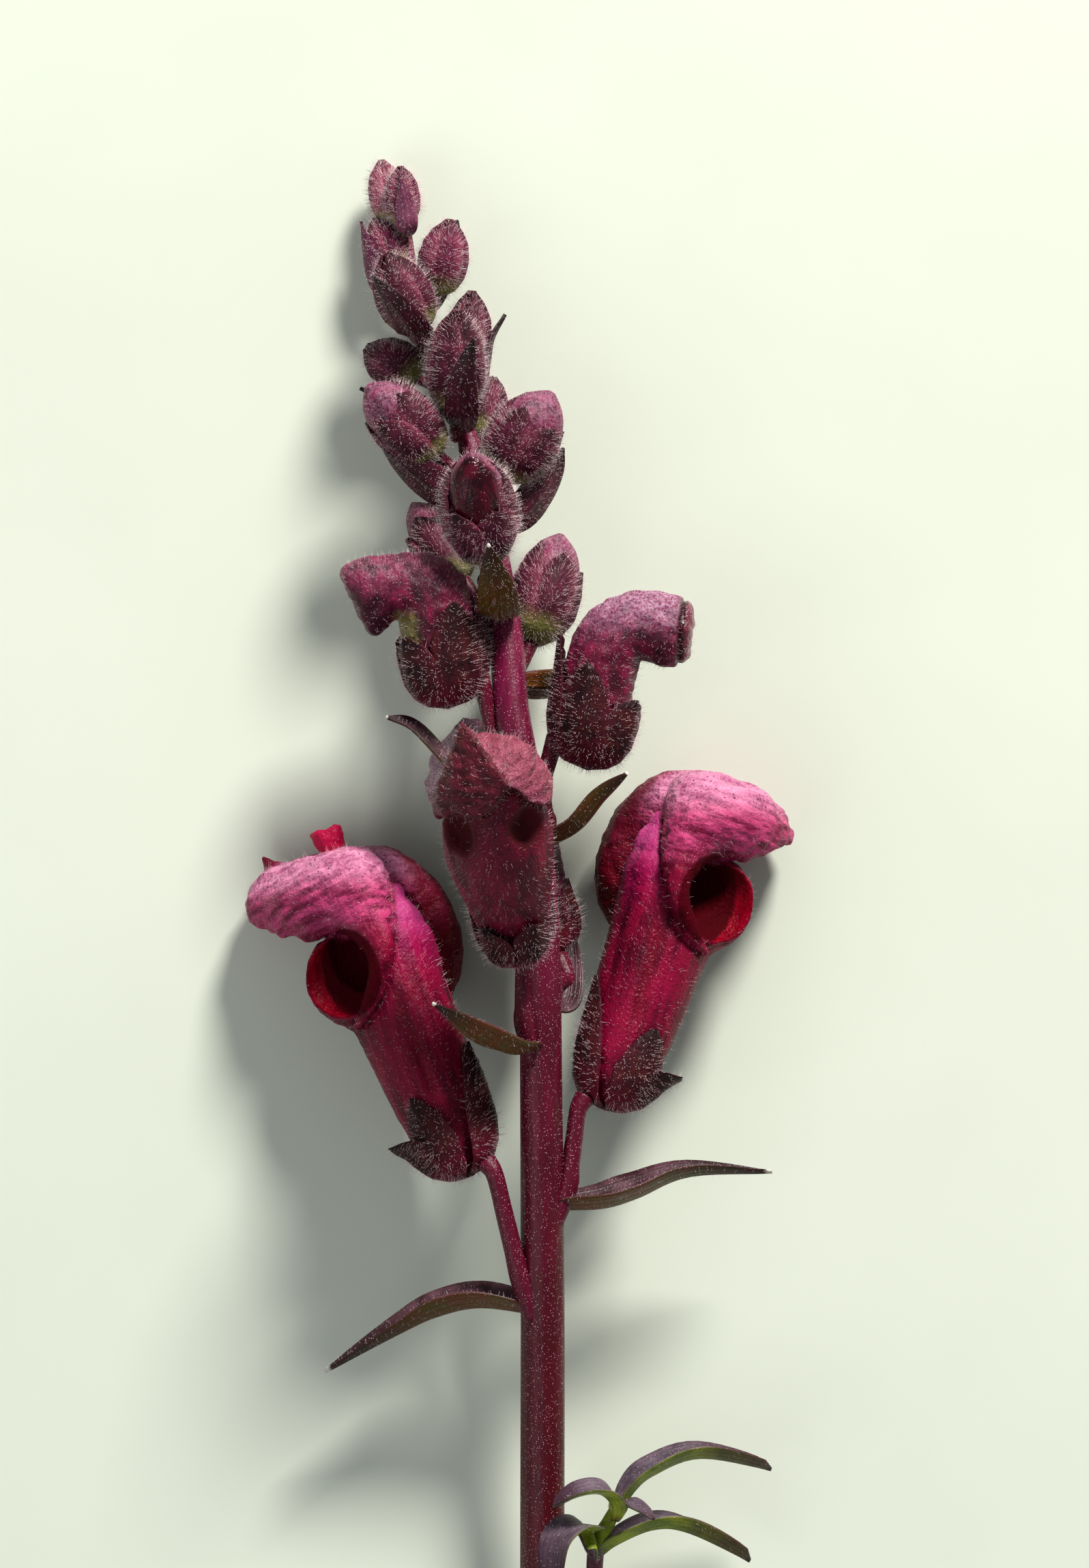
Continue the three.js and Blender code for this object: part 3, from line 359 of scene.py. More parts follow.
class Shape:
    """Points with faces, each point's place in its flower's own frame, and masks for its material.

    Petals have four masks more for the throat. Second is the number of the first face in the second material.
    """

    def __init__(self, points, faces, local=None, masks=None, throat=None, second=None):
        self.points = np.asarray(points, float)
        self.faces = faces if isinstance(faces, list) else [faces]
        self.local = self.points if local is None else local
        self.masks = np.zeros((len(self.points), 4)) if masks is None else masks
        self.throat = throat
        self.second = second

    def placed(self, made):
        """The same shape, moved from a flower's frame to the stem's."""
        return Shape(to_stem(self.points, made), self.faces, self.local, self.masks, self.throat, self.second)


def joined(shapes):
    starts = np.cumsum([0] + [len(s.points) for s in shapes[:-1]])
    faces = [f + start for s, start in zip(shapes, starts) for f in s.faces]
    return Shape(
        np.vstack([s.points for s in shapes]), faces,
        np.vstack([s.local for s in shapes]), np.vstack([s.masks for s in shapes]),
    )


def grid_faces(rows, columns, closed):
    """Quads of a grid of points, row by row. A closed grid's last column meets its first."""
    r = np.arange(rows - 1)[:, None]
    c = np.arange(columns if closed else columns - 1)[None, :]
    a = r * columns + c
    b = r * columns + (c + 1) % columns
    return np.stack([a, b, b + columns, a + columns], axis=-1).reshape(-1, 4)


def beside(*values):
    """Masks beside one another, a row for each point."""
    return np.stack(np.broadcast_arrays(*values), axis=1)


def shell_faces(rows, columns):
    """Faces of a thin closed shell: an outer grid of points, an inner one after it, and its border."""
    count = rows * columns
    outside = grid_faces(rows, columns, False)
    border = np.concatenate([
        np.arange(columns), (np.arange(1, rows) + 1) * columns - 1,
        (rows - 1) * columns + np.arange(columns - 2, -1, -1), np.arange(rows - 2, 0, -1) * columns,
    ])
    after = np.roll(border, -1)
    sides = np.stack([border, after, after + count, border + count], axis=1)
    return [outside, outside[:, ::-1] + count, sides[:, ::-1]]


def shell(grids, t, s, free):
    """A thin closed shell from two grids. Its masks: along, out from the middle, inner face, and free."""
    rows, columns = grids[0].shape[:2]
    points = np.vstack([g.reshape(-1, 3) for g in grids])
    along, out, loose = (
        np.tile(np.broadcast_to(a, (rows, columns)).ravel(), 2) for a in (t, np.abs(s), free)
    )
    inner = np.repeat([0.0, 1.0], rows * columns)
    return Shape(points, shell_faces(rows, columns), points.copy(), beside(along, out, inner, loose))


def capped_tube(rings):
    """Points and faces of a closed tube through rings of points, with a middle point in each end."""
    rows, columns = rings.shape[:2]
    points = np.vstack([rings.reshape(-1, 3), rings[0].mean(axis=0), rings[-1].mean(axis=0)])
    k = np.arange(columns)
    first = np.stack([(k + 1) % columns, k, np.full(columns, rows * columns)], axis=1)
    start = (rows - 1) * columns
    last = np.stack([start + k, start + (k + 1) % columns, np.full(columns, rows * columns + 1)], axis=1)
    return points, [grid_faces(rows, columns, True), first, last]


def tube_rings(rows, sides, steps, relief=None):
    """Rings round a smooth curve through rows of x, y, z and radius. Relief(angle, share) scales a radius."""
    path = resample(rows, steps)
    centre, radius = path[:, :3], np.maximum(path[:, 3], 0.02)
    tangent = unit(np.gradient(centre, axis=0))
    across = np.array([0.0, 0.0, 1.0])
    angle = np.linspace(0, 2 * np.pi, sides, endpoint=False)
    rings = []
    for k in range(len(path)):
        across = unit(across - across.dot(tangent[k]) * tangent[k])
        other = np.cross(tangent[k], across)
        size = radius[k] * (1 if relief is None else relief(angle, k / steps))
        ring = np.outer(np.cos(angle) * size, across) + np.outer(np.sin(angle) * size, other)
        rings.append(centre[k] + ring)
    return np.array(rings)


# ---------------------------------------------------------------- distance fields


def sweep(points, rows, steps=12):
    """Distance to a round rod of changing radius. A row is w, u, o, radius."""
    path = resample(rows, steps)
    best = np.full(len(points), np.inf)
    for a, b in zip(path[:-1], path[1:]):
        along = b[:3] - a[:3]
        share = np.clip((points - a[:3]) @ along / (along @ along), 0, 1)
        gap = points - a[:3] - share[:, None] * along
        best = np.minimum(best, np.linalg.norm(gap, axis=1) - a[3] - share * (b[3] - a[3]))
    return best


def swelling(points, centre, radii):
    """Distance to an ellipsoid, near enough."""
    q = (points - np.asarray(centre, float)) / radii
    k = np.linalg.norm(q, axis=1)
    return k * (k - 1) / np.maximum(np.linalg.norm(q / radii, axis=1), 1e-6)


def blend(a, b, width):
    """Union of two distances with a fillet of about that width."""
    h = np.clip(0.5 + 0.5 * (b - a) / width, 0, 1)
    return b + (a - b) * h - width * h * (1 - h)


def carve(a, b, width):
    return -blend(-a, b, width)


def gradient(field, points, step=0.05):
    out = np.empty_like(points)
    for axis in range(3):
        shift = np.zeros(3)
        shift[axis] = step
        out[:, axis] = (field(points + shift) - field(points - shift)) / (2 * step)
    return out


def pulled(field, points, voxel):
    """Points moved onto the surface where the field is zero, in two steps of at most a voxel."""
    for _ in range(2):
        slope = gradient(field, points)
        reach = field(points) / np.maximum((slope**2).sum(axis=1), 0.25)
        points = points - np.clip(reach, -voxel, voxel)[:, None] * slope
    return points


def surface(field, low, high, voxel):
    """Points and quads where a distance field is zero. Only the blocks near it are worked out finely."""
    cells = 4
    low = np.asarray(low, float)
    counts = np.ceil((np.asarray(high) - low) / (cells * voxel)).astype(int)
    index = np.indices(counts).reshape(3, -1).T
    coarse = field(low + (index + 0.5) * cells * voxel)
    values = np.sign(coarse).reshape(counts) * cells * voxel
    for axis in range(3):
        values = np.repeat(values, cells, axis=axis)
    near = index[np.abs(coarse) < 1.6 * cells * voxel]
    inner = np.indices([cells] * 3).reshape(3, -1).T
    fine = (near[:, None, :] * cells + inner[None, :, :]).reshape(-1, 3)
    values[tuple(fine.T)] = field(low + (fine + 0.5) * voxel)
    grid = openvdb.FloatGrid(cells * voxel)
    grid.copyFromArray(values.astype(np.float32))
    points, quads = grid.convertToQuads()
    points = pulled(field, low + (np.asarray(points, float) + 0.5) * voxel, voxel)
    quads = np.asarray(quads, int)
    corner = points[quads]
    normal = np.cross(corner[:, 2] - corner[:, 0], corner[:, 3] - corner[:, 1])
    if (normal * gradient(field, corner.mean(axis=1))).sum() < 0:
        quads = quads[:, ::-1]
    return points, quads


# ---------------------------------------------------------------- petals

VOXEL = 0.3
NEAR_SIDE = {"flower_01": 1, "flower_02": -1}  # the sign of w on the side that was shown
OPEN_BOX = ([-12.6, -1, -7.2], [12.6, 41, 16.2])  # low and high corner round an open corolla
OPENING_BOX = ([-11, -1, -7.2], [11, 38, 15])
HOLLOW_RIM = 0.25  # fillet of the hollow's rim
PILLOW_FILLET = 2.5  # fillets between an open hood and what joins it
BEAK_FILLET = 1.6
ROLL_FILLET = 3.0
LIP_FILLET = 1.4
SPIKE_FILLET = 0.5
GROOVE = (0.35, 0.6)  # depth and half width of the groove round an open hood
OPENING_GROOVE = (0.4, 0.8)
OPEN_SLOPE, OPENING_SLOPE = 0.9, 0.8  # bring a blended field's slope back to about 1
CREASE = (-1.1, 0.22, 0.32)  # the crease round a hooded bud's end: its place, half width and depth
SEEN_O, SEEN_W = 0.876, 0.483  # how far a flower's o and w reach sideways in the picture
HOLE = ([22.6, 4.0], [5.2, 3.6])  # the hollow as seen: its middle and radii along the tube and sideways
PLEAT = (0.7, 0.6, 0.3)  # the pleat along the tube's side: its place sideways, half width and depth
COROLLA_LENGTH = 34
# Bumps on petals: their stretch along w, u and o, their size, the seed of the noise and their height.
PUCKERS = (([1, 0.45, 1], 2.6, 11, 0.1), ([1, 1, 1], 1.2, 12, 0.05))
WRINKLES = ([0.5, 1, 0.25], 1.5, 13, 0.1)
BUD_BUMPS = ([1, 1, 1], 1.9, 21, 0.09)
# Lower margin of an opening flower's hood: its height, then the place, half width and height of its peak
# in the middle, and how much it rises to the right.
OPENING_EDGE = 17.6
EDGE_PEAK = (-0.9, 2.2, 3.4)
EDGE_RISE = 1.6
VALLEY = (0.8, 0.8)  # half width and depth of the right lobe's fold
LOBE_REACH = 3.6  # how far from its edge the left lobe stands high


def wide_sweep(points, rows, wide, steps=8):
    """A rod that is wider sideways than it is deep."""
    return sweep(points / [wide, 1, 1], rows, steps)


def grooved(a, b, depth, width):
    """Union of two distances with a groove where the two surfaces meet."""
    return np.minimum(a, b) + depth * np.clip(1 - np.abs(a - b) / width, 0, 1)


def mirrored(p):
    return np.abs(p) * [1, 0, 0] + p * [0, 1, 1]


def ridge(value, middle, half_width):
    """1 where a value is at the middle, with soft flanks."""
    return np.exp(-(((value - middle) / half_width) ** 2))


def in_middle(rows):
    """Rows of u, o and radius as rows of w, u, o and radius in the flower's middle plane."""
    return [[0, *row] for row in rows]


def hood_distance(p, name):
    """Distance to an open flower's upper lip, cut off along its lower margin."""
    hood = blend(swelling(mirrored(p), *OPEN_PILLOW), swelling(p, *OPEN_HOOD), PILLOW_FILLET)
    hood = blend(hood, wide_sweep(p, in_middle(BEAKS[name]), BEAK_WIDE), BEAK_FILLET)
    margin = p[:, 1] - profile(HOOD_EDGES[name], p[:, 2]) - 0.2 * np.sin(2.1 * p[:, 2] + 0.9 * p[:, 0])
    return carve(hood, margin * 0.85, 0.35)


def open_parts(p, name):
    """Distances of an open corolla's tube with its lip, hood, rolled edges, both of these, and hollow."""
    q = mirrored(p)
    near = p * [NEAR_SIDE[name], 1, 1]
    hood = hood_distance(p, name)
    lip = blend(sweep(p, in_middle(OPEN_TUBE)), swelling(p, *OPEN_LIP), LIP_FILLET)
    roll = np.minimum(sweep(near, NEAR_ROLL), sweep(near * [-1, 1, 1], FAR_ROLL))
    hollow = np.minimum(swelling(q, *OPEN_BOWL), swelling(q, *OPEN_TUNNEL))
    return lip, hood, roll, blend(hood, roll, ROLL_FILLET), hollow


def frill_cone(near):
    """Distance to the small cup's outside, which ends in a wavy rim."""
    rim = near[:, 1] - FRILL_TOP + 0.12 * np.sin(2.2 * near[:, 0] + 1) - 0.1 * (near[:, 2] - FRILL[-1][2])
    return carve(sweep(near, FRILL), -rim, 0.15)


def open_field(p, name):
    lip, _, _, upper, hollow = open_parts(p, name)
    whole = grooved(carve(lip, hollow, HOLLOW_RIM), upper, *GROOVE)
    if name == "flower_01":
        near = p * [NEAR_SIDE[name], 1, 1]
        frill = carve(frill_cone(near), sweep(near, FRILL_HOLLOW), 0.1)
        whole = blend(np.minimum(whole, frill), sweep(p, in_middle(SPIKE)), SPIKE_FILLET)
    return whole * OPEN_SLOPE


def beyond(line, across, up):
    """How far points lie to the right of a line through two points, looking along it."""
    (x0, y0), (x1, y1) = line
    run, rise = x1 - x0, y1 - y0
    return ((across - x0) * rise - (up - y0) * run) / math.hypot(run, rise)


def opening_parts(p, peaked):
    """Distances of the body, hood and pit of a flower that is only opening, and how far past its fold.

    Past the fold lies the hood's left lobe, folded over the right one, which has a soft valley.
    """
    body = wide_sweep(p, in_middle(OPENING_FUNNEL), OPENING_WIDE, 16)
    dome = swelling(p, *OPENING_DOME)
    if peaked:
        dome = blend(dome, sweep(p, OPENING_PEAK), 1.5)
    across, up = p @ OPENING_ACROSS, p @ OPENING_UP
    past = beyond(OPENING_FOLD, across, up)
    dome = carve(dome, -beyond(OPENING_SIDE, across, up), 0.8)
    lifted = smooth(-0.1, 0.15, past) * OPENING_CREST * np.exp(-np.clip(past, 0, 20) / LOBE_REACH)
    facing = smooth(0, 5, p[:, 2])
    valley = VALLEY[1] * ridge(beyond(OPENING_VALLEY, across, up), 0, VALLEY[0]) * smooth(0, -1, past)
    edge = OPENING_EDGE + EDGE_PEAK[2] * ridge(across, *EDGE_PEAK[:2]) + EDGE_RISE * smooth(-3, 4, across)
    hood = np.maximum(dome - (lifted - valley) * facing, edge - up)
    return body, hood, swelling(mirrored(p), *OPENING_PIT), past


def opening_field(p, peaked):
    body, hood, pit, _ = opening_parts(p, peaked)
    return carve(grooved(body, hood, *OPENING_GROOVE), pit, 1.0) * OPENING_SLOPE


def bumps(points, stretch, size, seed, height):
    return waves(points * stretch, size, seed) * height


def crinkled(points, out, amount, wrinkled):
    """Points moved along their normals by fine puckers, and by wrinkles that run along the hood."""
    puckers = sum(bumps(points, *row) for row in PUCKERS)
    return points + out * (puckers * amount + bumps(points, *WRINKLES) * wrinkled)[:, None]


def open_masks(local, out, name):
    """The open petals' masks: pink top, paler where it faces the light as a painted highlight, magenta
    finger, dark far lobe that is partly painted shade, rim, and the hollow (painted shade) with its band.
    """
    w, u, o = local.T
    _, hood, roll, above, hollow = open_parts(local, name)
    sideways = SEEN_O * o + SEEN_W * np.abs(w)
    upper = smooth(0.5, 0.05, above)
    pleat = ridge(sideways, *PLEAT[:2]) * smooth(5, 9, u) * smooth(20, 16, u)
    high = 0.95 * u - 0.3 * sideways
    # painted highlight: where the hood faces up towards the key light, its top mask goes over to the pale
    # colours
    lit = smooth(26.5, 33.5, high + 1.5 * out[:, 1])
    inside = smooth(0.3, 0.0, hollow) * smooth(-0.4, 0.1, above)
    outwards = np.hypot((u - HOLE[0][0]) / HOLE[1][0], (sideways - HOLE[0][1]) / HOLE[1][1])
    # painted shade, partly: the far rolled lobe is darkened as it lies in shade, over its own darker maroon
    far = smooth(1.5, 3.5, -w * NEAR_SIDE[name]) * smooth(16, 20, u) * smooth(1.4, 0.5, roll)
    return {
        "top": upper * smooth(21.5, 27, high) * (0.5 + 0.5 * lit),
        "finger": smooth(0.15, 0.6, above) * smooth(1.6, -1.2, o) * smooth(18, 27.5, u),
        # far: the far lobe's maroon with painted shade, and painted shade in the pleat's groove
        "far": np.maximum(far, 0.6 * pleat),
        "rim": smooth(0.6, 0.1, hollow) * (1 - inside) * (1 - upper),
        "inside": inside,
        "band": inside * smooth(1.0, 1.06, outwards) * smooth(4.0, 4.6, sideways),
        "hooded": smooth(0.5, 0.05, hood),
        "pleat": pleat,
    }


def open_corolla(made):
    """An open flower's petals, with the faces of its hollow in the second material."""
    name = made["name"]

    def field(p):
        return open_field(p, name)

    local, quads = surface(field, *OPEN_BOX, VOXEL)
    out = unit(gradient(field, local))
    m = open_masks(local, out, name)
    inside, u = m["inside"], local[:, 1]
    points = crinkled(local, out, smooth(8, 24, u) * (1 - inside), m["hooded"])
    points -= out * (PLEAT[2] * m["pleat"])[:, None]
    frill = 0
    if name == "flower_01":
        facing = points * [NEAR_SIDE[name], 1, 1]
        frill = smooth(0.4, 0.1, frill_cone(facing)) * smooth(-0.2, 0.6, sweep(facing, FRILL_HOLLOW) + 0.2)
    masks = beside(m["top"], m["finger"], m["far"], m["rim"])
    throat = beside(inside, m["band"], smooth(0, 1, u / COROLLA_LENGTH), frill)
    within = inside[quads].mean(axis=1) > 0.5
    return Shape(points, [quads[~within], quads[within]], local, masks, throat, second=(~within).sum())


def opening_corolla(made):
    """The petals of a flower that is only opening. The one in front of the stem has a peak."""
    size = made["size"]
    peaked = made["name"] == "flower_03"

    def field(p):
        return opening_field(p, peaked)

    local, quads = surface(field, *OPENING_BOX, VOXEL / size)
    out = unit(gradient(field, local))
    u = local[:, 1]
    _, hood, pit, past = opening_parts(local, peaked)
    upper = smooth(0.6, 0.05, hood)
    points = crinkled(local, out, smooth(8, 24, u), 1.6 * upper)
    # painted light: the right lobe, where it faces up and right towards the key light, takes the pale
    # colours; the folded left lobe keeps the darker ones as painted shade
    lit_right_lobe = smooth(0.3, -0.5, past) * smooth(-0.6, 0.6, out[:, 1] + 0.5 * out[:, 0])
    # painted shade just under the hood, laid through the far mask
    under = smooth(1.8, 0.3, hood) * (1 - upper) * smooth(0, 0.6, out[:, 2])
    masks = beside(upper * (0.45 + 0.5 * lit_right_lobe), 0, under, 0)
    throat = beside(0.9 * smooth(1.2, 0.0, pit), 0, u / COROLLA_LENGTH, 0)
    return Shape(points * size, quads, local, masks, throat)


def hooded_end(form, p):
    """How far points lie beyond the plane in which a hooded bud's hood ends."""
    return p[:, 2] - form["end"] - form["slope"] * (p[:, 1] - form["height"] + 4)


def hooded_corolla(made):
    """A hooded bud's petals, with a crease round the end of one and a palate under the other."""
    form = HOODED_FORMS[made["name"]]
    height = form["height"]

    def field(p):
        body = blend(sweep(p, in_middle(form["body"]), 20), sweep(p, in_middle(form["beak"]), 8), 1.2)
        end = hooded_end(form, p)
        crease = CREASE[2] * ridge(end, *CREASE[:2]) * smooth(0.45, 0.6, p[:, 1] / height)
        return carve(body, -end, 0.7) + crease * form["crease"]

    local, quads = surface(field, [-6, -0.8, -5], [6, height + 3, form["end"] + 2], VOXEL * 0.85)
    out = unit(gradient(field, local))
    points = local + out * bumps(local, *BUD_BUMPS)[:, None]
    _, u, o = local.T
    # partly painted highlight: the mauve top reaches further down where the hood faces up towards the light
    top = smooth(0.58, 1.08, (u + out[:, 1] * 2.5) / height) * form["mauve"]
    hooded = smooth(0.45, 0.6, u / height) * form["crease"]
    end = hooded_end(form, local)
    # painted shade: the crease round the hood's end is darkened where it is grooved
    fold = smooth(0.5, 0.15, np.abs(end - CREASE[0])) * hooded
    blunt = smooth(-1.0, -0.7, end) * hooded
    dark = smooth(13.0, 10.0, u) * smooth(4.5, 6.5, o) * form["palate"]
    palate = smooth(2.4, 3.6, o) * smooth(5.6, 4.8, o) * smooth(0.64, 0.54, u / height) * form["palate"]
    return Shape(points, quads, local, beside(top, dark, fold, blunt), beside(0, 0, u / height, palate))


def tight_corolla(made):
    """Petals still furled in their calyx: a pointed roll with spiral folds. One shows a dark gap between its
    petals, partly their own dark crimson and partly painted shade.
    """
    length, width = made["size"]
    rows = [[0, u * length, BUD_LEAN * u, max(0.2, share * width / 2 - 0.55)] for u, share in TIGHT_PETALS]

    def folds(angle, share):
        return 1 + 0.07 * np.abs(np.sin(1.5 * angle + 3.5 * share)) * np.sin(np.pi * share)

    points, faces = capped_tube(tube_rings(rows, 30, 26, folds))
    # painted shade, partly: bud_09's gap is a near-black patch on the closed roll, over the petals' dark
    # crimson
    far = np.linalg.norm((points - [0, 0.84 * length, 0.5 * width]) / [1, 1.6, 1], axis=1)
    gap = smooth(0.54 * width, 0.4 * width, far) * (made["name"] == "bud_09")
    top = smooth(0.5, 0.9, points[:, 1] / length) * 0.5
    return Shape(points, faces, points.copy(), beside(top, 0, 0, 0), beside(gap, 0, 0, 0))


COROLLAS = {
    "open": open_corolla,
    "opening": opening_corolla,
    "hooded": hooded_corolla,
    "tight": tight_corolla,
}


# ---------------------------------------------------------------- sepals


def sepal(centre, tip, spec):
    """One sepal as a thin closed shell. Centre is its middle's direction in degrees, tip its tip's height.

    Spec has its form: the half angle it spans at its foot, the height of its keel, how much it is cupped,
    laps over its neighbour and curls out, its thickness, and the rows and columns of its mesh.
    """
    t = np.linspace(0, 1, spec["rows"])[:, None] ** 0.9
    s = np.linspace(-1, 1, spec["columns"])[None, :]
    bottom = spec["profile"][0][0]
    u = bottom + (tip - bottom) * t
    free = np.clip((u - spec["sinus"]) / (tip - spec["sinus"]), 0, 1)
    half = spec["span"] * (1 - free ** spec["point"]) ** 0.8 + 0.8
    angle = np.radians(centre + s * half)
    base = profile(spec["profile"], u)
    keel = spec["keel"] * ridge(s, 0, 0.3) * smooth(0, 0.25, t) * (1 - 0.5 * free)
    cup = spec["cup"] * (1 - s**2) * smooth(0.05, 0.5, t)
    lap = spec["lap"] * s * smooth(0.1, 0.4, t)
    curl = spec["curl"] * free**2.2
    wave = 0.12 * np.sin(5 * u + centre) * s**2 * free
    outer = base + keel + cup + lap + curl + wave - spec["cup"] * 0.6
    thick = spec["thick"] * (1 - 0.75 * s**4) * (1 - 0.6 * free**3) * smooth(-0.05, 0.12, t)
    lean = spec["lean"](u)
    grids = [
        np.stack([radius * np.sin(angle), u + 0 * angle, lean + radius * np.cos(angle)], axis=-1)
        for radius in (outer, np.maximum(outer - thick, 0.02))
    ]
    return shell(grids, t, s, free)


def flower_calyx(made):
    """Form and tips of the sepals of an open, opening or hooded flower."""
    stage = made["stage"]
    scale = HOODED_CALYX if stage == "hooded" else made["size"]

    def lean(u):
        return np.full_like(u, TUBE_OFFSET * scale)

    spec = dict(
        profile=[[u * scale, r * scale + 0.2 * (1 - scale)] for u, r in CALYX_PROFILE],
        sinus=CALYX_SINUS * scale, lean=lean,
        span=37, keel=0.35, cup=0.3, lap=0.15, thick=0.5, rows=30, columns=17,
    )
    if stage == "hooded":
        spec.update(profile=HOODED_PROFILE, sinus=HOODED_SINUS, span=41)
        return spec, HOODED_TIPS
    if stage == "opening":
        spec["sinus"] = OPENING_SINUS
    rows = SEPAL_TIPS if stage == "open" else OPENING_TIPS
    return spec, [[a, h * scale, curl * scale, point] for a, h, curl, point in rows]


def bud_calyx(made):
    """Form and tips of the sepals that still wrap a bud."""
    length, width = made["size"]
    stage = made["stage"]

    def lean(u):
        return BUD_LEAN * u / length

    spec = dict(
        profile=[[u * length, share * width / 2] for u, share in BUD_PROFILE],
        sinus=BUD_SINUS * length, lean=lean,
        span=46, keel=0.03 * width, cup=0.04 * width, lap=0.03 * width, thick=0.45, rows=26, columns=13,
    )
    rows = SHOWING_TIPS if made["name"] == "bud_09" else TIGHT_TIPS
    tips = [[a, (CLOSED_TIP if stage == "closed" else h) * length, 0, TIP_BLUNTNESS[stage]] for a, h in rows]
    return spec, tips


def calyx(made):
    """The sepals of a flower or bud, overlapping one another by a little."""
    spec, tips = bud_calyx(made) if made["stage"] in YOUNG else flower_calyx(made)
    return joined([sepal(a, h, {**spec, "curl": curl, "point": point}) for a, h, curl, point in tips])


# ---------------------------------------------------------------- leaves and stalks

BLADE_GRID = (26, 13)  # rows along a leaf and columns across it
STEM_TUBE, STALK_TUBE, SHOOT_TUBE = (32, 240), (14, 30), (14, 40)  # sides and steps


def blade(made):
    """A narrow pointed leaf, folded up along its midrib, as a thin closed shell."""
    rows, columns = BLADE_GRID
    line = resample(made["path"], rows - 1)
    tangent = unit(np.gradient(line, axis=0))
    side = unit(np.cross(tangent, np.asarray(made["face"], float)))
    up = np.cross(side, tangent)
    t = np.linspace(0, 1, rows)[:, None]
    s = np.linspace(-1, 1, columns)[None, :]
    tip = made["tip"]
    peak = 0.8 / (0.8 + tip)
    share = 0.45 * (1 - t) ** 1.5 + 0.85 * (t / peak) ** 0.8 * ((1 - t) / (1 - peak)) ** tip
    half = np.maximum(0.12, made["width"] * share / 2)
    lift = made["fold"] * half * np.sqrt(s**2 + 0.02) + 0.1 * np.sin(7 * t + 2 * s) * s**2
    wave = 0.05 * np.sin(9 * t + 1.3) * s
    thick = 0.24 * (1 - 0.6 * s**2) * (1 - 0.5 * t**3) + 0.05
    rib = 0.22 * ridge(s, 0, 0.16) * (1 - 0.7 * t)
    across = (half * s)[..., None] * side[:, None, :]
    grids = [
        line[:, None, :] + across + (lift + wave + face)[..., None] * up[:, None, :]
        for face in (thick, -thick - rib)
    ]
    return shell(grids, t, s, 0 * t)


STEM_CURVE = resample(STEM, 400)


def stem_at(height):
    return np.array([np.interp(height, STEM_CURVE[:, 1], STEM_CURVE[:, k]) for k in (0, 1, 2)])


# Where a stalk ends in a flower's frame, and the point before that.
SEATS = {
    "open": ([0, -1.0, -2.4], [0, -2.6, -2.8]),
    "opening": ([0, -1.5, -2.3], [0, -5.0, -3.4]),
    "hooded": ([0, 1.4, -3.3], [0, -4.0, -3.9]),
    "tight": ([0, 0.3, 0], [0, -2.4, -0.4]),
    "closed": ([0, 0.3, 0], [0, -2.4, -0.4]),
}


# A stalk starts inside the stem and bends outside it: the share of the stem's radius and the height over
# the node for both. Then its thickness from start to end, as shares of its radius.
STALK_START = (0.5, -2.8)
STALK_BEND = (1.2, 1.6)
STALK_RADII = [0.9, 1.1, 1.0, 0.95, 0.95, 1.15]


def stalk_relief(angle, share):
    return 1 + 0.02 * np.sin(5 * angle + 9 * share)


def stem_relief(angle, share):
    """Low lengthwise ribs that turn slowly round the stem."""
    return (
        1 + 0.012 * np.sin(7 * angle + 3 * share) + 0.01 * np.sin(13 * angle - 5 * share)
        + 0.02 * np.sin(3 * angle + 14 * share)
    )


def stalk(made):
    """A flower's stalk, flared where it leaves the stem and under the calyx."""
    end, before = (np.asarray(p, float) for p in SEATS[made["stage"]])
    scale = made["size"] if made["stage"] == "opening" else 1
    under, last = to_stem(np.array([before, end]) * scale, made)
    inner = stem_at(made["node"])
    outward = (under - inner) * [1, 0, 1]
    thickness = np.interp(made["node"], STEM_CURVE[:, 1], STEM_CURVE[:, 3])
    first, root = (
        inner + unit(outward) * share * thickness + [0, height, 0]
        for share, height in (STALK_START, STALK_BEND)
    )
    points = [first, root, root + 0.3 * (under - root), root + 0.65 * (under - root), under, last]
    rows = [[*p, made["stalk"] * r] for p, r in zip(points, STALK_RADII)]
    shape = Shape(*capped_tube(tube_rings(rows, *STALK_TUBE, stalk_relief)))
    shape.masks[:, 1] = 1
    return shape


def stem_axis():
    """The stem from its cut end to its tip. Its masks are the middle of the cut face, and the low part."""
    shape = Shape(*capped_tube(tube_rings(STEM, *STEM_TUBE, stem_relief)))
    shape.masks[-2, 0] = 1
    shape.masks[:, 2] = smooth(150, 40, shape.points[:, 1])
    return shape


# ---------------------------------------------------------------- hairs

# Hairs on a square millimetre, and their shortest and longest length.
PETAL_HAIRS = {"open": 0.8, "opening": 1.6, "hooded": 3, "tight": 3, "flower_04": 4}
SEPAL_HAIRS = {
    "open": 4.2, "opening": 4.2, "hooded": 4.2, "tight": 6.8, "closed": 6.8,
    "bud_17": 9, "bud_18": 11, "bud_19": 14, "bud_20": 14,
}
BRACT_HAIRS = {"open": 1.5, "opening": 1.5, "hooded": 1.5, "tight": 4.0, "closed": 4.0}
PETAL_LENGTHS = (0.25, 0.8)
SEPAL_LENGTHS = (0.35, 1.0)
BRACT_LENGTHS = (0.15, 0.45)
STEM_HAIRS, STEM_LENGTHS = 2.2, (0.04, 0.16)
SHOOT_HAIRS, SHOOT_LENGTHS = 0.6, (0.08, 0.2)
HAIR = 0.036  # thickness of a hair
BEAD = 0.062  # diameter of the gland on its tip
SUNK = 0.08  # share of a hair's length below the skin
SCATTER = 0.15  # how far hairs point away from the skin's normal at random


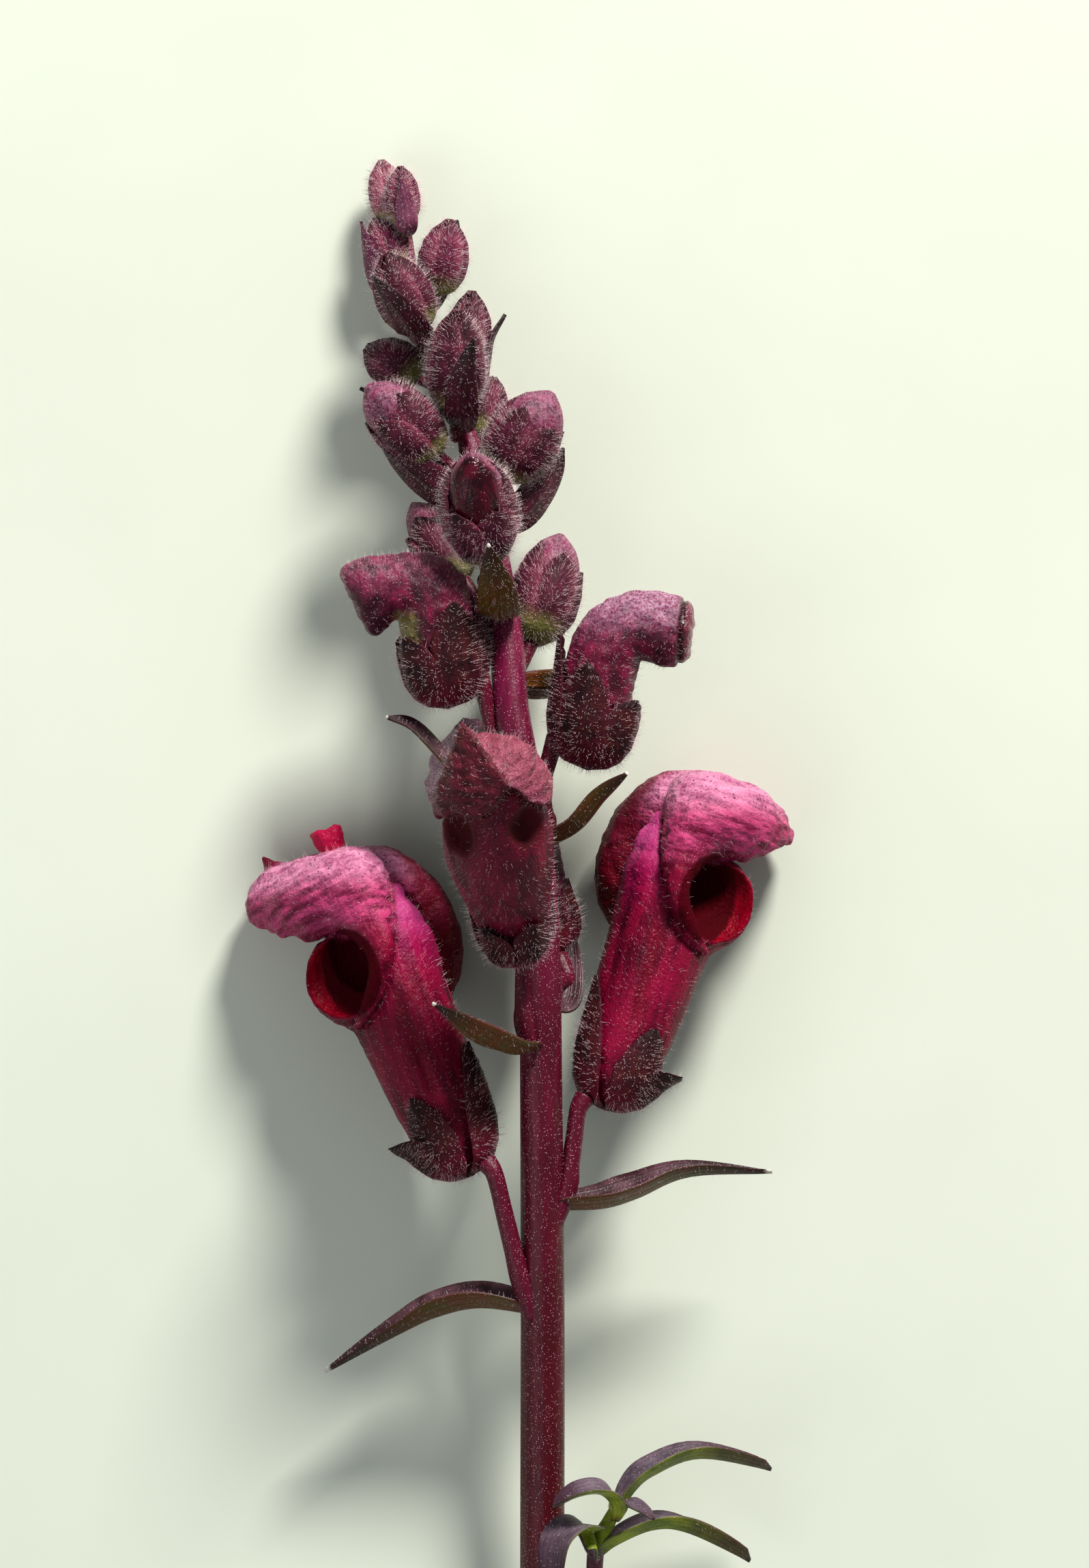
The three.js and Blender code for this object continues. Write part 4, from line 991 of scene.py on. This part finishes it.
def chosen_spots(shape, per_mm2, weight, rng):
    """Random points on a shape's faces, with the faces' normals."""
    triangles = np.vstack(
        [f if f.shape[1] == 3 else np.vstack([f[:, :3], f[:, [0, 2, 3]]]) for f in shape.faces]
    )
    a, b, c = (shape.points[triangles[:, k]] for k in range(3))
    cross = np.cross(b - a, c - a)
    density = np.linalg.norm(cross, axis=1) / 2 * per_mm2
    if weight is not None:
        density = density * weight[triangles].mean(axis=1)
    total = int(density.sum())
    chosen = rng.choice(len(density), total, p=density / density.sum())
    x, y = rng.random((2, total))
    flip = x + y > 1
    x[flip], y[flip] = 1 - x[flip], 1 - y[flip]
    spots = a[chosen] + (b - a)[chosen] * x[:, None] + (c - a)[chosen] * y[:, None]
    return spots, unit(cross[chosen])


def hairs(shape, per_mm2, length, seed, lean=(0, 0.2, 0), size=1.0, weight=None):
    """Gland-tipped hairs all over a shape: three-sided spikes, each with a bead on its tip."""
    rng = np.random.default_rng(seed)
    root, normal = chosen_spots(shape, per_mm2, weight, rng)
    total = len(root)
    heading = unit(normal + np.asarray(lean) + SCATTER * rng.normal(size=(total, 3)))
    long = length[0] + (length[1] - length[0]) * rng.random(total) ** 1.5
    side = unit(np.cross(heading, rng.normal(size=(total, 3))))
    other = np.cross(heading, side)
    tip = root + heading * long[:, None]
    foot = root - SUNK * heading * long[:, None]
    spokes = [side * math.cos(turn) + other * math.sin(turn) for turn in np.arange(3) * 2 * math.pi / 3]
    corners = [foot + spoke * size * HAIR / 2 for spoke in spokes] + [tip]
    corners += [tip + spoke * size * BEAD / 2 for spoke in [*spokes, heading, -heading]]
    points = np.stack(corners, axis=1).reshape(-1, 3)
    shaft = np.array([[0, 1, 3], [1, 2, 3], [2, 0, 3]])
    bead = np.array([[4, 5, 7], [5, 6, 7], [6, 4, 7], [5, 4, 8], [6, 5, 8], [4, 6, 8]])
    start = np.arange(total)[:, None, None] * len(corners)
    faces = [(f[None] + start).reshape(-1, 3) for f in (shaft, bead)]
    return Shape(points, faces, second=len(faces[0]))


def joined_hairs(coats):
    """Several coats of hair as one, with all the beads' faces last."""
    starts = np.cumsum([0] + [len(c.points) for c in coats[:-1]])
    shafts = [c.faces[0] + start for c, start in zip(coats, starts)]
    beads = [c.faces[1] + start for c, start in zip(coats, starts)]
    return Shape(np.vstack([c.points for c in coats]), shafts + beads, second=sum(len(f) for f in shafts))


# ---------------------------------------------------------------- materials


def colour(code):
    """A linear colour with alpha from a web colour code."""
    parts = [int(code[k:k + 2], 16) / 255 for k in (0, 2, 4)]
    return [*(c / 12.92 if c <= 0.04045 else ((c + 0.055) / 1.055) ** 2.4 for c in parts), 1]


MIX_SHARE, MIX_A, MIX_B, MIX_RESULT = 0, 6, 7, 2  # sockets of a Mix node for colours


class Nodes:
    """A material's node tree, short ways to add nodes to it, and its base colour as laid up so far."""

    def __init__(self, name, roughness=0.5, sheen=0.0, sheen_tint="ffffff", soft=0.0, shine=0.12):
        self.material = bpy.data.materials.new(name)
        self.material.use_nodes = True
        self.tree = self.material.node_tree
        self.shader = self.tree.nodes["Principled BSDF"]
        self.set("Roughness", roughness)
        self.set("Specular IOR Level", shine)
        self.set("Sheen Weight", sheen)
        self.set("Sheen Roughness", 0.35)
        self.set("Sheen Tint", colour(sheen_tint))
        self.set("Subsurface Weight", soft)
        self.set("Subsurface Radius", (0.0012, 0.0005, 0.0005))
        self.set("Subsurface Scale", 0.8)

    def set(self, name, value):
        self.shader.inputs[name].default_value = value

    def link(self, source, target):
        if isinstance(source, bpy.types.NodeSocket):
            self.tree.links.new(source, target)
        else:
            target.default_value = source

    def add(self, kind, **settings):
        node = self.tree.nodes.new(kind)
        for name, value in settings.items():
            setattr(node, name, value)
        return node

    def attribute(self, name):
        return self.add("ShaderNodeAttribute", attribute_name=name).outputs

    def masks(self, name):
        """The four values of a colour attribute."""
        source = self.attribute(name)
        split = self.add("ShaderNodeSeparateColor")
        self.link(source["Color"], split.inputs[0])
        return [*split.outputs[:3], source["Alpha"]]

    def math(self, operation, a, b=0.0, c=0.0):
        node = self.add("ShaderNodeMath", operation=operation)
        for source, target in zip((a, b, c), node.inputs):
            self.link(source, target)
        return node.outputs[0]

    def step(self, value, low, high, bottom=0.0, top=1.0):
        """A soft step from bottom to top as the value goes from low to high. Low may be the larger one."""
        node = self.add("ShaderNodeMapRange", interpolation_type="SMOOTHSTEP")
        for source, target in zip((value, low, high, bottom, top), node.inputs):
            self.link(source, target)
        return node.outputs[0]

    def mix(self, a, b, share):
        """From one colour to another. A colour is a socket or a web colour code."""
        node = self.add("ShaderNodeMix", data_type="RGBA")
        self.link(share, node.inputs[MIX_SHARE])
        self.link(colour(a) if isinstance(a, str) else a, node.inputs[MIX_A])
        self.link(colour(b) if isinstance(b, str) else b, node.inputs[MIX_B])
        return node.outputs[MIX_RESULT]

    def weigh(self, a, share, b):
        """The first value at that share, and the second at the rest."""
        return self.math("MULTIPLY_ADD", a, share, self.math("MULTIPLY", b, 1 - share))

    def lay(self, top, mask, strength=None):
        """Lays a colour over the base where the mask is 1, at that strength."""
        share = mask if strength is None else self.math("MULTIPLY", mask, strength)
        self.base = self.mix(self.base, top, share)

    def sprinkle(self, top, stretch, size, radius, strength):
        """Lays small round dots over the base."""
        self.lay(top, self.dots(self.place(scale=stretch), size, radius), strength)

    def place(self, name="local", scale=(1, 1, 1)):
        """A point attribute in millimetres, stretched."""
        node = self.add("ShaderNodeMapping")
        self.link(self.attribute(name)["Vector"], node.inputs[0])
        node.inputs["Scale"].default_value = scale
        return node.outputs[0]

    def noise(self, place, size, detail=3.0, rough=0.55):
        """Noise from 0 to 1 with spots of about that size in millimetres."""
        node = self.add("ShaderNodeTexNoise")
        self.link(place, node.inputs["Vector"])
        self.link(1 / size, node.inputs["Scale"])
        self.link(detail, node.inputs["Detail"])
        self.link(rough, node.inputs["Roughness"])
        return self.step(node.outputs[0], 0.3, 0.7)

    def dots(self, place, size, radius):
        """Round dots, one to each cell of that size, as a mask."""
        node = self.add("ShaderNodeTexVoronoi")
        self.link(place, node.inputs["Vector"])
        self.link(1 / size, node.inputs["Scale"])
        return self.step(node.outputs["Distance"], radius * 1.35, radius * 0.7)

    def bump(self, height, strength, distance):
        node = self.add("ShaderNodeBump")
        node.inputs["Strength"].default_value = strength
        node.inputs["Distance"].default_value = distance * MM
        self.link(height, node.inputs["Height"])
        self.link(node.outputs[0], self.shader.inputs["Normal"])

    def finish(self, roughness=None):
        self.link(self.base, self.shader.inputs["Base Color"])
        if roughness is not None:
            self.link(roughness, self.shader.inputs["Roughness"])
        return self.material


def petal_material(name, deep, mid, hood, painted_highlight, magenta, fuzz=0.0, shine=0.14):
    """Velvety petals: crimson with darker streaks, pinkish hood with a painted highlight where it faces the
    light, a far lobe partly darkened as painted shade, a hollow darkened as painted shade, and a glossy red
    band.
    """
    n = Nodes(name, sheen=0.15 * fuzz, sheen_tint="f0a8c8", soft=0.1, shine=shine)
    top, finger, far, rim = n.masks("masks")
    inside, band, along, frill = n.masks("throat")
    local = n.place()
    streak = n.noise(n.place(scale=(1, 0.16, 1)), 1.6, 4)
    wrinkle = n.noise(n.place(scale=(0.5, 1, 0.22)), 0.8, 3)
    blotch = n.noise(local, 3.2)
    grain = n.noise(local, 0.35, 2)
    n.base = n.mix(deep, mid, n.weigh(streak, 0.75, blotch))
    # the finger: magenta, going paler lavender towards its tip, partly the petal's own tone and partly
    # painted sheen
    n.lay(n.mix(magenta, "b43c7c", n.step(along, 0.74, 0.92)), finger, 0.75)
    n.lay(n.mix(*hood, wrinkle), n.step(top, 0, 0.5))
    # painted highlight: pale colours where the hood's top faces the light
    n.lay(n.mix(*painted_highlight, n.weigh(wrinkle, 0.6, grain)), n.step(top, 0.5, 1.0))
    # painted shade, partly: far lobe and pleat groove on open flowers, over the far lobe's own maroon; just
    # under the hood on opening ones
    n.lay("5c0414", far, 0.85)
    n.lay("2c0210", n.math("MULTIPLY", n.dots(local, 0.6, 0.19), n.math("MAXIMUM", top, 0.2)), 0.85)
    n.sprinkle("e0b4c8", (1.3, 1.1, 1.2), 0.5, 0.1, 0.4)
    n.lay("a8204c", rim, 0.5)
    n.lay("a00838", frill)
    # painted shade: the hollow darkened near black deep inside
    n.lay("380006", inside)
    n.lay(n.mix("44000a", "780216", streak), band)
    relief = n.math("MULTIPLY_ADD", wrinkle, top, n.math("MULTIPLY", grain, 0.5))
    n.bump(n.math("ADD", relief, streak), 0.6, 0.2)
    rough = n.step(n.math("SUBTRACT", band, inside), -1, 0, 0.75, 0.42 + 0.12 * fuzz)
    return n.finish(n.math("SUBTRACT", rough, n.math("MULTIPLY", band, 0.26)))


def hooded_material(name):
    """Hooded buds: mauve on top, partly a painted highlight, crimson-purple below, a dark fold that is
    painted shade in its crease, a brown end and an olive palate.
    """
    n = Nodes(name, sheen=0.06, sheen_tint="f0b0d0", soft=0.08, shine=0.2)
    top, dark, fold, blunt = n.masks("masks")
    gap, _, _, palate = n.masks("throat")
    local = n.place()
    streak = n.noise(n.place(scale=(1, 0.3, 1)), 1.3, 4)
    grain = n.noise(local, 0.35, 2)
    n.base = n.mix("300414", "700834", streak)
    # mauve top, partly the hood's own colour and partly a painted highlight where it faces the light
    n.lay(n.mix("6c2848", "a07890", grain), n.math("MULTIPLY", top, n.step(streak, -0.4, 0.8, 0.45, 1.0)))
    n.lay("2c0618", dark, 0.75)
    n.lay("602430", blunt, 0.85)
    # painted shade in the crease round the hood's end
    n.lay("280004", fold)
    # bud_09's gap: the petals' dark crimson with painted shade, near black
    n.lay(n.mix("0c0106", "480418", streak), gap)
    n.lay("74783a", palate, 0.6)
    n.lay("24060e", n.dots(local, 0.55, 0.2), 0.8)
    n.sprinkle("e0bccc", (1.3, 1.1, 1.2), 0.45, 0.11, 0.4)
    n.bump(n.math("ADD", n.math("MULTIPLY", grain, 0.5), streak), 0.5, 0.16)
    glossy = n.math("MAXIMUM", n.math("MAXIMUM", blunt, fold), gap)
    return n.finish(n.step(glossy, 0, 1, 0.5, 0.22))


def sepal_material(name, dark, dusky, root, pink, tip):
    """Hairy sepals: dusky purple-brown, another colour towards the stalk, near black at the tip."""
    n = Nodes(name, roughness=0.6, sheen=0.05, sheen_tint="e0b0c8", soft=0.04)
    along, edge, inner, free = n.masks("masks")
    local = n.place()
    blotch = n.noise(local, 1.8)
    grain = n.noise(local, 0.3, 2)
    veins = n.noise(n.place(scale=(1, 0.12, 1)), 0.7, 2)
    n.base = n.mix(dark, dusky, n.weigh(blotch, 0.6, veins))
    n.lay(pink, n.step(edge, 0.3, 0.95), 0.4)
    n.lay(root, n.step(along, 0.36, 0.06, 0.0, 0.9))
    n.lay(tip, n.step(free, 0.5, 1.0), 0.75)
    n.lay("300a16", inner, 0.7)
    n.sprinkle("d8b4c4", (1.2, 0.9, 1.1), 0.4, 0.13, 0.5)
    n.bump(n.math("ADD", n.math("MULTIPLY", grain, 0.6), veins), 0.5, 0.15)
    return n.finish()


def leaf_material(name, upper, under, tip, root, point):
    """A bract or leaf: one colour above and another below, a darker tip and root, and parallel veins."""
    n = Nodes(name, roughness=0.4, sheen=0.03, sheen_tint="d8c8d8", soft=0.06, shine=0.18)
    along, edge, below, _ = n.masks("masks")
    local = n.place()
    blotch = n.noise(local, 2.2)
    grain = n.noise(local, 0.28, 2)
    veins = n.step(n.math("SINE", n.math("MULTIPLY", edge, 20.0)), 0.2, 1.0)
    n.base = n.mix(n.mix(*upper, blotch), n.mix(*under, blotch), below)
    n.lay("0c0306", veins, 0.22)
    n.lay(tip, n.step(along, 0.55, 0.95, 0.0, 0.85))
    n.lay(root, n.step(along, 0.12, 0.0, 0.0, 0.8))
    n.lay(point, n.step(along, 0.975, 0.99, 0.0, 0.8))
    n.sprinkle("b8a8ac", (1.1, 1.2, 0.9), 0.5, 0.12, 0.45)
    n.bump(n.math("ADD", n.math("MULTIPLY", grain, 0.5), veins), 0.4, 0.1)
    return n.finish()


def stem_material():
    """The stem: dark crimson with fine lengthwise streaks, brighter stalks, and a pale cut face."""
    n = Nodes("stem_skin", roughness=0.4, soft=0.04, shine=0.2)
    cut, stalk_mask, low, _ = n.masks("masks")
    local = n.place()
    streak = n.noise(n.place(scale=(1, 0.06, 1)), 0.8, 4)
    blotch = n.noise(n.place(scale=(1, 0.4, 1)), 4.0)
    share = n.weigh(streak, 0.6, blotch)
    n.base = n.mix(n.mix("4c0824", "6c1038", share), n.mix("360109", "4a0312", share), low)
    n.lay("480418", stalk_mask, 0.8)
    n.sprinkle("e0a8b8", (1.2, 1.0, 1.1), 0.32, 0.15, 0.6)
    n.lay(n.mix("c8c890", "8a9a58", n.noise(local, 0.5)), n.step(cut, 0.12, 0.3))
    n.bump(n.math("ADD", n.math("MULTIPLY", n.noise(local, 0.3, 2), 0.4), streak), 0.4, 0.12)
    return n.finish()


def plain(name, code, roughness):
    """A hair's shaft or bead, far too small to carry a pattern."""
    n = Nodes(name, roughness=roughness)
    n.base = colour(code)
    return n.finish()


# the fourth colours are the pale painted highlight on the hood's top
CRIMSON = ("300010", "80062e", ("5c0a2a", "b43c6c"), ("84345c", "cc84a4"), "9c0a50")
MATERIALS = {
    "petal": petal_material("petal_velvet", *CRIMSON, shine=0.1),
    "throat": petal_material("petal_throat", *CRIMSON, shine=0.03),
    # bloom and dusk: the third colours darken the folded left lobe as painted shade, the fourth are a painted
    # highlight on the lit right lobe
    "bloom": petal_material("petal_downy", "340314", "6c0a2a", ("340610", "541220"), ("541a2a", "904458"),
                            "901048", fuzz=0.05),
    "dusk": petal_material("petal_dusk", "34101e", "502030", ("5c3446", "84586a"), ("6c4858", "a08490"),
                           "901048", fuzz=0.4),
    "hooded": hooded_material("petal_hooded"),
    "sepal": sepal_material("sepal_dark", "14040a", "401012", "5c0a20", "4a0e1e", "0c0204"),
    "bud": sepal_material("sepal_bud", "240812", "541a30", "74783a", "7c3048", "1c040a"),
    "rosy_bud": sepal_material("sepal_rosy", "401024", "702844", "808440", "904458", "2c0814"),
    "tip_bud": sepal_material("sepal_tip", "5c2438", "94485c", "8c9050", "b46c7c", "3c1020"),
    "bract": leaf_material("bract_skin", ("2e161c", "563842"), ("4c3c0c", "5c2c10"), "1c0a0c", "4c0c20",
                           "d8d4c8"),
    "bud_bract": leaf_material("bract_dark", ("280816", "44102a"), ("2c0c14", "4c1428"), "120406", "5c2818",
                               "120406"),
    "tip_bract": leaf_material("bract_mauve", ("54203c", "7c3c58"), ("54203c", "8c4c64"), "44142c", "5c5c28",
                               "1c0810"),
    "leaf": leaf_material("leaf_skin", ("40343e", "62525e"), ("56680c", "8c981e"), "341424", "4c1424",
                          "241018"),
    "stem": stem_material(),
    "shaft": plain("hair_shaft", "ccb0b4", 0.4),
    "bead": plain("hair_bead", "f8ecea", 0.25),
}

PETAL_SKINS = {
    "open": ["petal", "throat"], "opening": ["bloom"], "hooded": ["hooded"], "tight": ["hooded"],
    "flower_04": ["dusk"],
}
SEPAL_SKINS = {
    "open": "sepal", "opening": "sepal", "hooded": "sepal", "tight": "bud", "closed": "bud",
    "bud_17": "rosy_bud", "bud_18": "rosy_bud", "bud_19": "tip_bud", "bud_20": "rosy_bud",
}
BRACT_SKINS = {f"bud_{number:02d}": "bud_bract" for number in (8, *range(10, 18))}
BRACT_SKINS.update({f"bud_{number}": "tip_bract" for number in (18, 19, 20)})
HAIR_SKINS = ["shaft", "bead"]


# ---------------------------------------------------------------- pieces

CUT_RING = 1.2  # length in millimetres in which the CAD stem's cut end has its points
PRESSED = 0.8  # height in millimetres under which the surface presses petals flat
STEM_HAIR_SIZE = 0.7
PETAL_HAIR_SIZE = 0.85
STEM_SEED, SHOOT_SEED, FLOWER_SEEDS = 900, 950, 10  # each flower has so many seeds of its own


def cut_end_shift():
    """From the stem's frame to the part's: the CAD stem's cut end is where its centreline starts."""
    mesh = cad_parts["stem"].data
    points = np.empty(len(mesh.vertices) * 3)
    mesh.vertices.foreach_get("co", points)
    points = np.unique(points.reshape(-1, 3).round(7), axis=0)
    ring = points[points[:, 1] < points[:, 1].min() + CUT_RING * MM]
    return ring.mean(axis=0) / MM - CUT_CENTRE


SHIFT = cut_end_shift()


def settled(shape):
    """The same shape, with what would dip into the surface that it lies on pressed flat, softly."""
    height = shape.points[:, 2] + SHIFT[2]
    pressed = PRESSED * np.exp(np.minimum(height / PRESSED - 1, 0))
    shape.points[:, 2] += np.where(height < PRESSED, pressed - height, 0)
    return shape


def mesh_of(name, shape, materials):
    """A Blender mesh from a shape, in metres and in the part's frame."""
    mesh = bpy.data.meshes.new(name)
    points = ((shape.points + SHIFT) * MM).astype(np.float32)
    corners = np.concatenate([f.ravel() for f in shape.faces]).astype(np.int32)
    sizes = np.concatenate([np.full(len(f), f.shape[1]) for f in shape.faces])
    starts = np.concatenate([[0], np.cumsum(sizes)[:-1]]).astype(np.int32)
    mesh.vertices.add(len(points))
    mesh.vertices.foreach_set("co", points.ravel())
    mesh.loops.add(len(corners))
    mesh.loops.foreach_set("vertex_index", corners)
    mesh.polygons.add(len(sizes))
    mesh.polygons.foreach_set("loop_start", starts)
    mesh.polygons.foreach_set("use_smooth", np.ones(len(sizes), bool))
    for material in materials:
        mesh.materials.append(MATERIALS[material])
    if shape.second is not None:
        index = (np.arange(len(sizes)) >= shape.second).astype(np.int32)
        mesh.polygons.foreach_set("material_index", index)
    return mesh


def add_layers(mesh, shape):
    """What the materials read from a mesh: each point's place in its flower's own frame, and its masks."""
    local = mesh.attributes.new("local", "FLOAT_VECTOR", "POINT")
    local.data.foreach_set("vector", shape.local.astype(np.float32).ravel())
    for name, values in {"masks": shape.masks, "throat": shape.throat}.items():
        if values is not None:
            layer = mesh.attributes.new(name, "FLOAT_COLOR", "POINT")
            layer.data.foreach_set("color", values.astype(np.float32).ravel())


def piece(name, nodes, shape, materials):
    """A Blender object from a shape. It rides on the body and replaces CAD nodes."""
    mesh = mesh_of(name, shape, materials)
    if materials != HAIR_SKINS:
        add_layers(mesh, shape)
    mesh.update(calc_edges=True)
    thing = bpy.data.objects.new(name, mesh)
    bpy.context.scene.collection.objects.link(thing)
    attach(thing, BODY)
    if nodes:
        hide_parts(*nodes)


def own(table, made):
    """What a table says for one flower or bud: under its name, or else under its stage."""
    return table.get(made["name"], table[made["stage"]])


def make_petals(made, seed):
    """The petals of a flower or bud. Gives back their coat of hair."""
    name = made["name"]
    petals = settled(COROLLAS[made["stage"]](made).placed(made))
    piece(f"{name}_petals", [f"{name}_corolla"], petals, own(PETAL_SKINS, made))
    outside = 1 - petals.throat[:, 0]
    return hairs(
        petals, own(PETAL_HAIRS, made), PETAL_LENGTHS, seed, size=PETAL_HAIR_SIZE, weight=outside,
    )


def make_sepals(made, seed):
    """The sepals of a flower or bud. Gives back the coat of hair on their outer faces."""
    name = made["name"]
    sepals = settled(calyx(made).placed(made))
    node = name if made["stage"] == "closed" else f"{name}_calyx"
    piece(f"{name}_sepals", [node], sepals, [own(SEPAL_SKINS, made)])
    return hairs(sepals, own(SEPAL_HAIRS, made), SEPAL_LENGTHS, seed, weight=1 - sepals.masks[:, 2])


def make_bract(made, seed):
    """The bract under a flower or bud. Gives back its coat of hair."""
    name = made["name"]
    leaf = blade(made["bract"])
    piece(f"{name}_leaf", [f"{name}_bract"], leaf, [BRACT_SKINS.get(name, "bract")])
    return hairs(leaf, own(BRACT_HAIRS, made), BRACT_LENGTHS, seed)


def make_flower(made, seed):
    """One flower or bud with its bract, and the hairs of all of it as one piece."""
    coats = [] if made["stage"] == "closed" else [make_petals(made, seed)]
    coats += [make_sepals(made, seed + 1), make_bract(made, seed + 2)]
    piece(f"{made['name']}_hairs", [], settled(joined_hairs(coats)), HAIR_SKINS)


def make_stem():
    """The stem with the stalks of all flowers and buds."""
    axis = joined([stem_axis(), *[stalk(made) for made in FLOWERS]])
    piece("stem_skin", ["stem"], axis, ["stem"])
    coat = hairs(axis, STEM_HAIRS, STEM_LENGTHS, STEM_SEED, lean=(0, 0, 0), size=STEM_HAIR_SIZE)
    piece("stem_hairs", [], coat, HAIR_SKINS)


def make_shoot():
    """The side shoot. Its axis is dark like a leaf's root low down, then green like a leaf's underside."""
    axis = Shape(*capped_tube(tube_rings(SHOOT, *SHOOT_TUBE)))
    height = axis.points[:, 1]
    axis.masks[:, 0] = 0.5 * smooth(30, 32, height)
    axis.masks[:, 2] = smooth(30.5, 32.5, height)
    leaves = joined([axis, *[blade(leaf) for leaf in SHOOT_LEAVES]])
    piece("side_shoot_leaves", ["side_shoot"], leaves, ["leaf"])
    coat = hairs(leaves, SHOOT_HAIRS, SHOOT_LENGTHS, SHOOT_SEED)
    piece("side_shoot_hairs", [], coat, HAIR_SKINS)


make_stem()
make_shoot()
for order, made in enumerate(FLOWERS):
    make_flower(made, FLOWER_SEEDS * order)


# ---------------------------------------------------------------- floor, light and camera

FLOOR_SIZE = 6  # in metres
FLOOR_TINTS = ("c4cabc", "c8cec0")
LIGHT_TARGET = (0, 0.01, 0.01)
LIGHTS = {  # place, diameter in metres, power in watts and tint
    "key": ((0.38, 1.0, 0.66), 0.3, 31, (1.0, 0.97, 0.92)),
    "fill": ((-0.7, -0.4, 0.9), 0.9, 4, (0.95, 0.97, 1.0)),
}
SKY_TINT = (0.92, 0.96, 1.0, 1)
SKY_STRENGTH = 0.33
FOCUS_HEIGHT = 18 * MM  # height above the floor of the plane in which the picture's scale holds
CAMERA_DISTANCE = 798 * MM  # from that plane
CAMERA_LENS = 175  # in millimetres, as the sensor
SENSOR_HEIGHT = 36
NEAR_CLIP = 0.05  # in metres
VIEW_CENTRE = [0.2, 112.1]  # x and y in the stem's frame


def make_floor():
    bpy.ops.mesh.primitive_plane_add(size=FLOOR_SIZE)
    floor = bpy.context.object
    floor.name = "floor"
    n = Nodes("floor_card", roughness=0.85)
    place = n.add("ShaderNodeTexCoord").outputs["Object"]
    n.base = n.mix(*FLOOR_TINTS, n.noise(place, 0.05))
    floor.data.materials.append(n.finish())


def add_light(name, place, size, power, tint):
    """A round area light that points at the middle of the stem."""
    light = bpy.data.lights.new(name, "AREA")
    light.shape = "DISK"
    light.size = size
    light.energy = power
    light.color = tint
    thing = bpy.data.objects.new(name, light)
    thing.location = place
    thing.rotation_euler = (Vector(LIGHT_TARGET) - Vector(place)).to_track_quat("-Z", "Y").to_euler()
    bpy.context.scene.collection.objects.link(thing)


def make_sky():
    """Plain daylight from everywhere, and colours shown as they are."""
    world = bpy.data.worlds.new("soft_room")
    world.use_nodes = True
    background = world.node_tree.nodes["Background"]
    background.inputs["Color"].default_value = SKY_TINT
    background.inputs["Strength"].default_value = SKY_STRENGTH
    bpy.context.scene.world = world
    bpy.context.scene.view_settings.view_transform = "Standard"


def make_camera():
    """A camera that looks straight down, with the stem's tip upwards in the picture."""
    camera = bpy.data.cameras.new("camera")
    camera.lens = CAMERA_LENS
    camera.sensor_fit = "VERTICAL"
    camera.sensor_height = SENSOR_HEIGHT
    camera.clip_start = NEAR_CLIP
    thing = bpy.data.objects.new("camera", camera)
    x, y = (VIEW_CENTRE[k] + SHIFT[k] for k in (0, 1))
    thing.location = (x * MM, y * MM, FOCUS_HEIGHT + CAMERA_DISTANCE)
    bpy.context.scene.collection.objects.link(thing)
    bpy.context.scene.camera = thing


make_floor()
make_sky()
for name, settings in LIGHTS.items():
    add_light(name, *settings)
make_camera()
